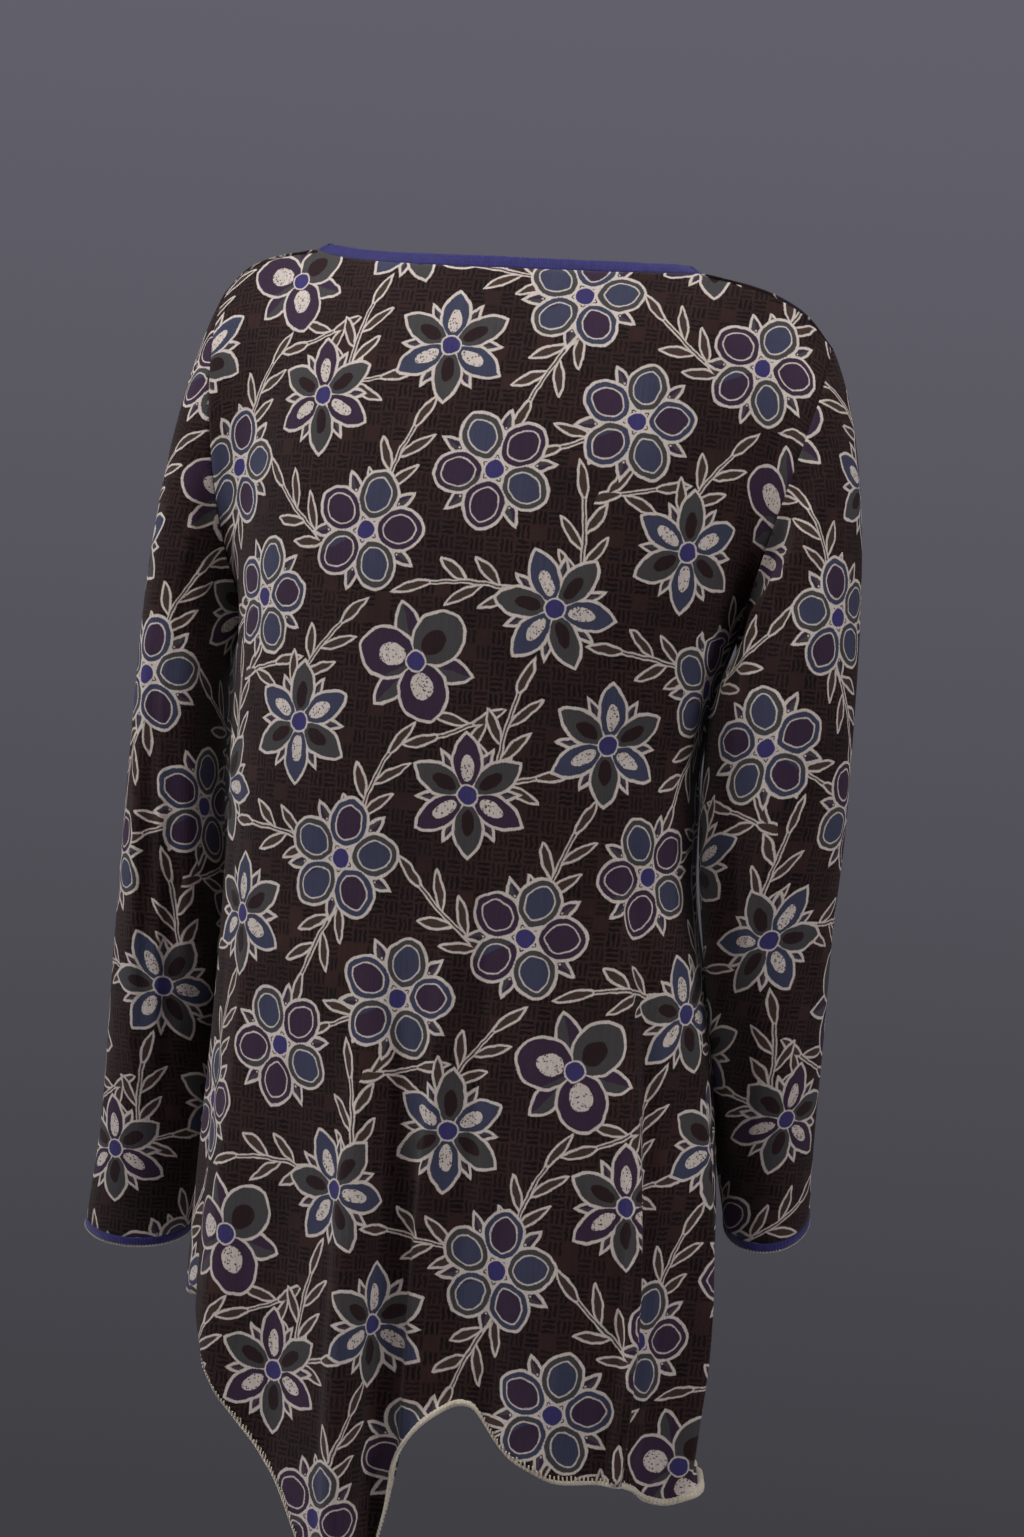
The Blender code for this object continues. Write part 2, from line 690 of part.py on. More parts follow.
def build_front_band(side, front, normals, neck_direction, band):
    """A strip down the front opening, which starts at the top of the neck band."""
    edge, normal = front[-1], normals[-1]
    top = edge[0] + neck_direction * (BAND_GAP + NECK_BAND_HEIGHT)
    edge = np.concatenate([[top], edge])
    normal = np.concatenate([[normal[0]], normal])
    towards = np.array([-SIDES[side], 0.0, 0.0])
    direction = unit(towards - normal * (normal @ towards)[:, None])
    outer, inner = strip(edge, normal, direction, FRONT_BAND_WIDTH, BAND_WALL)
    solid("front_band_" + side, outer, inner, False, band)


def main():
    clear_scene()
    knit = material("patterned_knit", KNIT_COLOUR)
    band = material("violet_rib", BAND_COLOUR)
    panels, normals = build_panels(knit)
    for side in SIDES:
        build_sleeve(side, panels, knit, band)
    neck = build_neck_band(panels, normals, band)
    build_front_band("left", panels["left"], normals["left"], neck[0], band)
    build_front_band("right", panels["right"], normals["right"], neck[-1], band)


main()
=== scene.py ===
"""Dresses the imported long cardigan: printed fine knit, violet ribs and an overlocked hem.

Every sheet is a thin shell on the form of the solid that it stands for, in metres and in the
same frame. The wearer faces -Y, and the wearer's left side is at +X.
"""

import logging
import math
from dataclasses import dataclass
from enum import Enum
from typing import Callable, NamedTuple, Optional, Sequence, Union

import bpy
import numpy as np
from mathutils import Matrix, Vector


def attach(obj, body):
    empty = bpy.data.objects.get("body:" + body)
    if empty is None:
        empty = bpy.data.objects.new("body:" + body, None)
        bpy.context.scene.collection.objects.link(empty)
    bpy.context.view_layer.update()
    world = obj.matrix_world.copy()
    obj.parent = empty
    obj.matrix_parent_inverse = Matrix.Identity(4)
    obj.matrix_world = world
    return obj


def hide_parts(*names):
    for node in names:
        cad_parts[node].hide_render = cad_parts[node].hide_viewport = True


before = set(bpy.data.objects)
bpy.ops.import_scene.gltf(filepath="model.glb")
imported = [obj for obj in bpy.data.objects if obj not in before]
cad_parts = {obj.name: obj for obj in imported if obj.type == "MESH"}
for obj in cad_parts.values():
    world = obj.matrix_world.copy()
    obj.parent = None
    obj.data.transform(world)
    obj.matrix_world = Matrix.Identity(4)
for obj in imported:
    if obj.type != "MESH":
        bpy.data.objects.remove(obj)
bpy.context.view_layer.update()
log = logging.getLogger("cardigan")

BODY = "root"
KNIT_SLOT, RIB_SLOT = "patterned_knit", "violet_rib"
MM = 0.001


class Side(Enum):
    """The wearer's two sides. The value is the sign of X there."""

    LEFT = 1
    RIGHT = -1

    @property
    def word(self) -> str:
        """The side's word in the names of pieces and nodes."""
        return self.name.lower()


# Grid of the solids, repeated with their sizes so that the sheets follow the same form
SHOULDER_COLUMNS = 5
BACK_NECK_COLUMNS = 36
FRONT_NECK_COLUMNS = 13
YOKE_ROWS = 10
SKIRT_ROWS = 20
CAP_ROWS = 8
TUBE_ROWS = 16
FINE_STEPS = 721
TANGENT_STEP = 0.5
LEAVE_PASSES = 2
RELAX_PASSES = 16
RELAX_BELOW = 3

# Neck opening
NECK_HALF_WIDTH = 0.139
NECK_POINT_Y = 0.022
NECK_POINT_LIFT = {Side.LEFT: 0.0055, Side.RIGHT: 0.0}
NECK_LIFT_POWER = 6
BACK_NECK_Y = 0.066
BACK_NECK_DROP = 0.008
BACK_NECK_POWER = 2.2
FRONT_NECK_Y = -0.098
FRONT_NECK_DROP = 0.085
FRONT_NECK_POWER = 1.9
FRONT_NECK_SINK = 1.5
NECK_BAND_TOP = 0.03

# Shoulder tips, where the shoulder seam meets the sleeve
SHOULDER_TIP = {Side.LEFT: (0.211, 0.004, -0.024), Side.RIGHT: (-0.232, 0.004, -0.046)}
SHOULDER_RISE = {Side.LEFT: 0.0100, Side.RIGHT: 0.0145}
SHOULDER_SKEW = 0.7
UNDERARM_Z = -0.255

# Front opening: the two bands hang edge to edge
FRONT_BAND_WIDTH = 0.012
FRONT_GAP_TOP = 0.010
FRONT_GAP_HEM = 0.036
FRONT_GAP_TOP_Z = -0.10
FRONT_HEM_Z = -0.83

# How square the body's level sections are: 2 is an ellipse
SECTION_POWER = 2.25


def rows_of(kind: type, *rows: Sequence[float]) -> tuple:
    """A table whose rows are given as plain numbers."""
    return tuple(kind(*row) for row in rows)


class Section(NamedTuple):
    """A level section of the body: its height and its reach to each side."""

    z: float
    left: float
    right: float
    back: float
    front: float


SECTIONS = rows_of(
    Section,
    (-0.255, 0.1785, 0.1780, 0.118, 0.122), (-0.305, 0.1770, 0.1610, 0.116, 0.121),
    (-0.370, 0.1760, 0.1595, 0.113, 0.119), (-0.430, 0.1755, 0.1620, 0.110, 0.113),
    (-0.500, 0.1755, 0.1755, 0.111, 0.112), (-0.570, 0.1770, 0.1855, 0.115, 0.115),
    (-0.660, 0.1800, 0.1940, 0.120, 0.119), (-0.740, 0.1810, 0.1950, 0.121, 0.121),
    (-0.800, 0.1780, 0.1900, 0.120, 0.120), (-0.880, 0.1700, 0.1850, 0.118, 0.119),
    (-0.970, 0.1650, 0.1850, 0.116, 0.118),
)

# Angles round the body: 0 degrees is the wearer's left side, 90 the centre back
LEFT_SEAM, RIGHT_SEAM = 0, 180


class HemPoint(NamedTuple):
    """The hem's height at an angle round the body."""

    angle: float
    z: float


HEM = rows_of(
    HemPoint,
    (-90, -0.800), (-65, -0.812), (-45, -0.800), (-25, -0.765), (-8, -0.745), (10, -0.742),
    (29, -0.750), (39, -0.773), (48, -0.799), (60, -0.835), (68, -0.861), (77, -0.918), (80, -0.940),
    (83, -0.950), (86, -0.932), (91, -0.850), (95, -0.808), (99, -0.790), (104, -0.781), (109, -0.797),
    (115, -0.815), (122, -0.825), (140, -0.827), (152, -0.836), (162, -0.8455), (168, -0.8425),
    (176, -0.830), (186, -0.826), (200, -0.826), (215, -0.822), (240, -0.814), (270, -0.800),
)


class Fold(NamedTuple):
    """A ridge or trough that grows down the skirt, by its angles at the foot and the head.

    The pinch is the share of its width by which the fold draws the cloth together.
    """

    foot: float
    head: float
    width: float
    height: float
    pinch: float
    z_head: float
    z_full: float


FOLDS = rows_of(
    Fold,
    (81, 80, 7, 0.012, 0.45, -0.48, -0.76), (91, 90, 8, -0.017, 0.80, -0.45, -0.72),
    (107, 105, 9, -0.013, 0.30, -0.50, -0.80), (122, 118, 8, 0.007, 0.20, -0.45, -0.80),
    (139, 136, 7, 0.011, 0.55, -0.42, -0.78), (154, 150, 8, -0.010, 0.30, -0.45, -0.78),
    (170, 169, 7, 0.008, 0.40, -0.50, -0.80), (62, 60, 9, -0.008, 0.20, -0.45, -0.78),
    (42, 44, 9, 0.007, 0.20, -0.50, -0.80), (22, 24, 9, -0.007, 0.20, -0.45, -0.74),
    (-16, -14, 9, -0.008, 0.30, -0.45, -0.74), (-36, -32, 9, 0.011, 0.40, -0.40, -0.76),
    (-54, -50, 9, -0.011, 0.40, -0.42, -0.78), (-72, -70, 8, 0.008, 0.30, -0.45, -0.80),
    (254, 252, 8, 0.008, 0.30, -0.45, -0.80), (236, 232, 9, -0.011, 0.40, -0.40, -0.80),
    (216, 214, 9, 0.011, 0.40, -0.40, -0.80), (196, 197, 9, -0.008, 0.30, -0.45, -0.78),
)


class YokeColumn(NamedTuple):
    """How a column of the yoke leaves its top and meets the body, from the sleeve to the centre."""

    share: float
    out: float
    drop: float
    lift: float


BACK_YOKE = rows_of(
    YokeColumn,
    (0.00, 0.046, -0.030, 0.055), (0.16, 0.046, -0.016, 0.095), (0.32, 0.045, -0.014, 0.105),
    (0.60, 0.040, -0.040, 0.100), (1.00, 0.034, -0.055, 0.095),
)
FRONT_YOKE = rows_of(
    YokeColumn,
    (0.00, 0.046, -0.030, 0.055), (0.16, 0.046, -0.016, 0.090), (0.32, 0.044, -0.020, 0.095),
    (0.60, 0.030, -0.042, 0.085), (1.00, 0.014, -0.055, 0.080),
)
# The armhole's own control points, from the shoulder tip down to the underarm
ARMHOLE_SHARE = 0.22
ARMHOLE_UPPER = (0.003, 0.050, -0.044)
ARMHOLE_LOWER = (0.018, 0.054, 0.056)


class Ring(NamedTuple):
    """A section of a sleeve: its centre, half width, half depth and tilt in degrees."""

    z: float
    x: float
    y: float
    across: float
    deep: float
    tilt: float


SLEEVES = {
    Side.LEFT: rows_of(
        Ring,
        (-0.315, 0.2190, 0.004, 0.0325, 0.057, 2), (-0.380, 0.2186, 0.004, 0.0350, 0.052, 3),
        (-0.450, 0.2190, -0.002, 0.0383, 0.047, 8), (-0.540, 0.2228, -0.016, 0.0403, 0.041, 14),
        (-0.630, 0.2315, -0.038, 0.0400, 0.035, 20), (-0.702, 0.2438, -0.058, 0.0403, 0.032, 24),
    ),
    Side.RIGHT: rows_of(
        Ring,
        (-0.315, -0.2165, 0.002, 0.0480, 0.057, 2), (-0.380, -0.2160, 0.000, 0.0480, 0.052, 4),
        (-0.450, -0.2160, -0.008, 0.0435, 0.047, 10), (-0.530, -0.2190, -0.024, 0.0375, 0.042, 18),
        (-0.600, -0.2200, -0.045, 0.0325, 0.038, 25), (-0.654, -0.2200, -0.064, 0.0305, 0.036, 30),
    ),
}
# Rows over which creases fade out at the armhole and the cuff
CREASE_FADE_ROWS = 3


class Crease(NamedTuple):
    """A soft crease along a sleeve: its turn in degrees, 0 outer and 90 back, and its lean a metre."""

    turn: float
    lean: float
    width: float
    height: float
    z: float
    reach: float


CREASES = {
    Side.LEFT: rows_of(
        Crease,
        (98, -60, 14, 0.005, -0.42, 0.17), (68, -60, 16, -0.003, -0.42, 0.14),
        (128, -60, 16, -0.004, -0.40, 0.14), (110, -500, 16, -0.004, -0.21, 0.06),
        (270, 0, 16, 0.004, -0.48, 0.14), (235, 0, 15, -0.004, -0.45, 0.10),
    ),
    Side.RIGHT: rows_of(
        Crease,
        (95, -640, 17, -0.008, -0.20, 0.07), (126, -640, 16, 0.006, -0.20, 0.06),
        (118, -100, 16, 0.004, -0.42, 0.12), (80, 0, 16, -0.003, -0.47, 0.14),
        (40, 0, 14, 0.003, -0.44, 0.14), (270, 0, 16, 0.004, -0.47, 0.14),
        (235, 300, 15, -0.005, -0.24, 0.08),
    ),
}
# How the sleeve leaves the armhole: outward share, what the shoulder adds, and the fall
CAP_LEAVE = (0.30, 0.12, -0.93)
CAP_REACH = (0.27, 0.42)


class Crumple(NamedTuple):
    """A fine fold of the cloth that only the sheets show, along a slanting line on a panel."""

    place_top: float
    z_top: float
    place_foot: float
    z_foot: float
    width: float
    height: float


# Fine folds of the body. Places are angles round the body
BODY_CRUMPLES = rows_of(
    Crumple,
    (79, -0.56, 81, -1.06, 2.4, 0.0095), (86, -0.50, 88, -1.00, 2.6, -0.0090),
    (94, -0.46, 94, -0.90, 2.2, 0.0075), (101, -0.44, 100, -0.86, 2.4, -0.0065),
    (113, -0.46, 114, -0.90, 3.4, 0.0035), (137, -0.42, 139, -0.94, 2.4, 0.0090),
    (145, -0.46, 147, -0.94, 2.8, -0.0070), (168, -0.52, 170, -0.90, 2.8, 0.0040),
    (160, -0.50, 162, -0.86, 3.0, -0.0020), (62, -0.32, 63, -0.48, 3.0, 0.0012),
    (73, -0.40, 74, -0.56, 3.0, 0.0014), (121, -0.24, 122, -0.40, 3.2, 0.0012),
    (40, -0.42, 44, -0.74, 3.5, 0.0020), (28, -0.34, 24, -0.62, 4.0, -0.0016),
    (52, -0.52, 54, -0.80, 3.5, -0.0018), (150, -0.30, 156, -0.44, 4.0, -0.0014),
    (163, -0.27, 170, -0.38, 3.5, 0.0016), (14, -0.27, 20, -0.40, 3.5, 0.0014),
    (-33, -0.44, -36, -0.80, 3.5, 0.0030), (-50, -0.46, -53, -0.80, 3.5, -0.0030),
    (-62, -0.34, -66, -0.60, 4.0, 0.0016), (-20, -0.30, -14, -0.50, 4.0, -0.0014),
    (214, -0.44, 217, -0.80, 3.5, 0.0030), (233, -0.46, 235, -0.80, 3.5, -0.0030),
    (244, -0.32, 250, -0.58, 4.0, 0.0016), (198, -0.30, 194, -0.48, 4.0, -0.0014),
)
# Two faint lines that pressing left on the upper back, and one on its centre
PRESS_LINES = rows_of(
    Crumple,
    (53, -0.01, 54, -0.16, 0.8, 0.0008), (92, -0.01, 92, -0.15, 0.8, 0.0008),
    (131, -0.01, 130, -0.16, 0.8, 0.0008),
)
# Fine folds of the sleeves. Places are degrees round the sleeve, 0 outer and 90 back
SLEEVE_CRUMPLES = {
    Side.LEFT: rows_of(
        Crumple,
        (92, -0.28, 102, -0.60, 6, 0.0026), (78, -0.30, 84, -0.56, 6, -0.0018),
        (118, -0.12, 108, -0.30, 7, -0.0024), (60, -0.34, 72, -0.46, 6, 0.0014),
        (120, -0.44, 96, -0.52, 5, -0.0012), (70, -0.56, 90, -0.62, 6, 0.0012),
        (262, -0.30, 275, -0.56, 8, 0.0022), (300, -0.40, 290, -0.60, 7, -0.0018),
    ),
    Side.RIGHT: rows_of(
        Crumple,
        (120, -0.10, 92, -0.26, 6, -0.0034), (98, -0.10, 76, -0.22, 6, 0.0026),
        (140, -0.14, 116, -0.30, 7, 0.0026), (128, -0.30, 112, -0.50, 7, -0.0020),
        (88, -0.36, 92, -0.56, 7, 0.0018), (60, -0.30, 66, -0.48, 7, -0.0014),
        (170, -0.26, 166, -0.46, 22, 0.0050), (166, -0.48, 178, -0.86, 24, 0.0075),
        (262, -0.30, 272, -0.52, 8, 0.0022), (232, -0.14, 262, -0.28, 8, -0.0024),
    ),
}


class HemStyle(NamedTuple):
    """The overlocked edge at an angle round the body: its roll, its stitches and the curl above it."""

    angle: float
    roll: float
    tooth: float
    curl: float


HEM_STYLES = rows_of(
    HemStyle,
    (-90, 0.0016, 0.0038, 0.000), (-30, 0.0017, 0.0038, 0.002), (0, 0.0016, 0.0038, 0.000),
    (9, 0.0015, 0.0036, -0.006), (20, 0.0014, 0.0036, -0.009), (38, 0.0014, 0.0036, -0.009),
    (46, 0.0014, 0.0040, -0.004), (54, 0.0014, 0.0044, 0.000), (78, 0.0015, 0.0042, 0.000),
    (86, 0.0018, 0.0030, 0.002), (91, 0.0022, 0.0020, 0.006), (98, 0.0025, 0.0015, 0.008),
    (104, 0.0022, 0.0022, 0.004), (109, 0.0016, 0.0038, 0.000), (130, 0.0017, 0.0042, 0.000),
    (144, 0.0018, 0.0032, 0.000), (154, 0.0022, 0.0020, 0.003), (162, 0.0025, 0.0014, 0.006),
    (168, 0.0027, 0.0012, 0.010), (176, 0.0028, 0.0012, 0.009), (184, 0.0026, 0.0012, 0.005),
    (192, 0.0021, 0.0026, 0.001), (200, 0.0020, 0.0030, 0.003), (208, 0.0017, 0.0038, 0.000),
    (270, 0.0016, 0.0038, 0.000),
)
# The hem's curl: its radius, and the most that it turns, in degrees
CURL_RADIUS, CURL_LIMIT = 0.009, 170

# How much finer the sheets are than the solids
COLUMN_SPLIT = 4
ROW_SPLIT = 7
RING_SPLIT = 5
SLEEVE_ROW_SPLIT = 6
SHEET_THICKNESS = 0.0015
SEAM_SINK = 0.0007
SEAM_REACH = 0.004

# The map of the cloth: where the body is measured, by lowest level, count of levels, and first angle,
# last angle and count; the angles of the panels' centres; and how far the prints are set apart
ARC_FOOT_Z, ARC_LEVELS = -0.97, 13
ARC_ANGLES = (-92, 272, 243)
BACK_CENTRE = 90.0
FRONT_CENTRES = {Side.LEFT: -90.0, Side.RIGHT: 270.0}
FRONT_PRINT_SHIFT, SLEEVE_PRINT_SHIFT = 0.9, 0.3

# Fine folds: how sharply they end, the depth at which they begin, and how much deeper they are full
CRUMPLE_END = 0.9
CRUMPLE_START, CRUMPLE_GROWTH = 0.10, 0.12

# Passes that smooth the edges and the ways out of them
EDGE_PASSES, TRIM_PASSES, NECK_PASSES, HEM_PASSES = 6, 6, 10, 2

Points = np.ndarray
Number = Union[float, "Value"]


def put(name: str, data: bpy.types.ID) -> bpy.types.Object:
    """An object in the scene, with its data.

    Args:
        name: The object's name.
        data: Its mesh, light or camera.

    Returns:
        The object.
    """
    made = bpy.data.objects.new(name, data)
    bpy.context.scene.collection.objects.link(made)
    return made


def unit(vectors: Points) -> Points:
    """The vectors at length 1."""
    return vectors / np.linalg.norm(vectors, axis=-1, keepdims=True)


def smooth_table(rows: Sequence[NamedTuple], key: float) -> NamedTuple:
    """Reads a table between its rows.

    Args:
        rows: The table, in the order of its first column.
        key: The value of the first column.

    Returns:
        The row there, on a smooth curve through the rows.
    """
    table = np.array(rows, float)
    keys = table[:, 0]
    ascending = keys[-1] > keys[0]
    order = keys if ascending else keys[::-1]
    values = table if ascending else table[::-1]
    where = min(max(key, order[0]), order[-1])
    i = int(min(max(np.searchsorted(order, where) - 1, 0), len(order) - 2))
    slopes = np.gradient(values, order, axis=0)
    step = order[i + 1] - order[i]
    t = (where - order[i]) / step
    t2, t3 = t * t, t * t * t
    mixed = (
        (2 * t3 - 3 * t2 + 1) * values[i]
        + (t3 - 2 * t2 + t) * step * slopes[i]
        + (3 * t2 - 2 * t3) * values[i + 1]
        + (t3 - t2) * step * slopes[i + 1]
    )
    return type(rows[0])(*mixed)


def ramp(value: float, start: float, full: float) -> float:
    """0 before start, 1 past full, smooth between."""
    t = min(max((value - start) / (full - start), 0.0), 1.0)
    return t * t * (3 - 2 * t)


def bezier(p0: Points, p1: Points, p2: Points, p3: Points, t: float) -> Points:
    """The point at t on a cubic curve."""
    s = 1 - t
    return s**3 * p0 + 3 * s * s * t * p1 + 3 * s * t * t * p2 + t**3 * p3


def even_steps(curve: Callable[[float], Points], start: float, end: float, count: int) -> Points:
    """Parts a curve into steps of the same length.

    Args:
        curve: The curve, by its own value.
        start: The value at which it starts.
        end: The value at which it ends.
        count: The number of steps.

    Returns:
        The count + 1 values between the steps.
    """
    fine = np.linspace(start, end, FINE_STEPS)
    points = np.array([curve(value) for value in fine])
    return np.interp(np.linspace(0, 1, count + 1) * run_along(points)[-1], run_along(points), fine)


def run_along(points: Points) -> Points:
    """The distance along a line of points, from its first one."""
    steps = np.linalg.norm(np.diff(points, axis=0), axis=1)
    return np.concatenate([[0.0], np.cumsum(steps)])


def grid_normals(grid: Points, closed: bool, outward: float) -> Points:
    """Normals of a grid of columns.

    Args:
        grid: Points by column and row.
        closed: Whether the columns go round a tube.
        outward: 1 or -1, for the side on which the outside lies.

    Returns:
        A unit normal for each point.
    """
    if closed:
        along = np.roll(grid, -1, axis=0) - np.roll(grid, 1, axis=0)
    else:
        along = np.gradient(grid, axis=0)
    return unit(np.cross(along, np.gradient(grid, axis=1))) * outward


def spline_weights(count: int, split: int, closed: bool) -> Points:
    """Weights that carry coarse points to fine ones on smooth curves.

    Args:
        count: The number of coarse points.
        split: The number of fine steps in a coarse one.
        closed: Whether the curve comes back to its start.

    Returns:
        A matrix with a row for each fine point and a column for each coarse one.
    """
    spans = count if closed else count - 1
    total = spans * split + (0 if closed else 1)
    weights = np.zeros((total, count))
    for k in range(total):
        i, f = divmod(k, split)
        if not closed and i == spans:
            i, f = spans - 1, split
        f = f / split
        shares = (
            -(f**3) / 2 + f * f - f / 2,
            3 * f**3 / 2 - 5 * f * f / 2 + 1,
            -3 * f**3 / 2 + 2 * f * f + f / 2,
            f**3 / 2 - f * f / 2,
        )
        for step, share in zip((-1, 0, 1, 2), shares):
            at = i + step
            if closed:
                weights[k, at % count] += share
            elif at < 0:
                weights[k, 0] += 2 * share
                weights[k, 1] -= share
            elif at >= count:
                weights[k, count - 1] += 2 * share
                weights[k, count - 2] -= share
            else:
                weights[k, at] += share
    return weights


def finer(grid: Points, columns: int, rows: int, closed: bool) -> Points:
    """A finer grid on the smooth surface through a coarse one.

    Args:
        grid: Values by column and row, with any number of parts each.
        columns: The number of fine columns in a coarse step.
        rows: The number of fine rows in a coarse step.
        closed: Whether the columns go round a tube.

    Returns:
        The fine grid.
    """
    across = spline_weights(grid.shape[0], columns, closed)
    down = spline_weights(grid.shape[1], rows, False)
    return np.einsum("ac,cr...,br->ab...", across, grid, down)


def crumple_heights(crumples: Sequence[Crumple], places: Points, heights: Points) -> Points:
    """Adds up fine folds over a grid.

    Args:
        crumples: The folds.
        places: Each point's place across the folds, in degrees.
        heights: Each point's z.

    Returns:
        How far each point is pushed out.
    """
    total = np.zeros(places.shape)
    for fold in crumples:
        down = (fold.z_top - heights) / (fold.z_top - fold.z_foot)
        centre = fold.place_top + (fold.place_foot - fold.place_top) * down
        away = (places - centre + 180) % 360 - 180
        fade = np.exp(-((2 * np.clip(down, -1, 2) - 1) ** 4) * CRUMPLE_END)
        total += fold.height * fade * np.exp(-((away / fold.width) ** 2))
    return total


@dataclass
class Patch:
    """A fine grid of one panel, with what its cloth needs to know of each point."""

    points: Points
    normals: Points
    flat: Points
    places: Points
    closed: bool = False

    def push(self, heights: Points) -> None:
        """Moves every point along its normal, and widens the map by the cloth that the folds take up.

        Args:
            heights: How far each point moves.
        """
        before = self.runs()
        self.points = self.points + self.normals * heights[..., None]
        grown = self.runs() - before
        middle = 0 if self.closed else len(grown) // 2
        across = np.sign(self.flat[-1, :, 0] - self.flat[0, :, 0])
        self.flat[..., 0] += across * (grown - grown[middle])

    def runs(self) -> Points:
        """The distance from the first column to each point, along its row."""
        return np.stack([run_along(self.points[:, j]) for j in range(self.points.shape[1])], axis=1)

    def renew_normals(self, outward: float) -> None:
        """Works the normals out again from the points."""
        self.normals = grid_normals(self.points, self.closed, outward)

    def cloth_area(self) -> float:
        """The area of the grid.

        Returns:
            The area in square metres.
        """
        along = np.diff(self.points, axis=0)[:, :-1]
        down = np.diff(self.points, axis=1)[:-1]
        return float(np.linalg.norm(np.cross(along, down), axis=-1).sum())


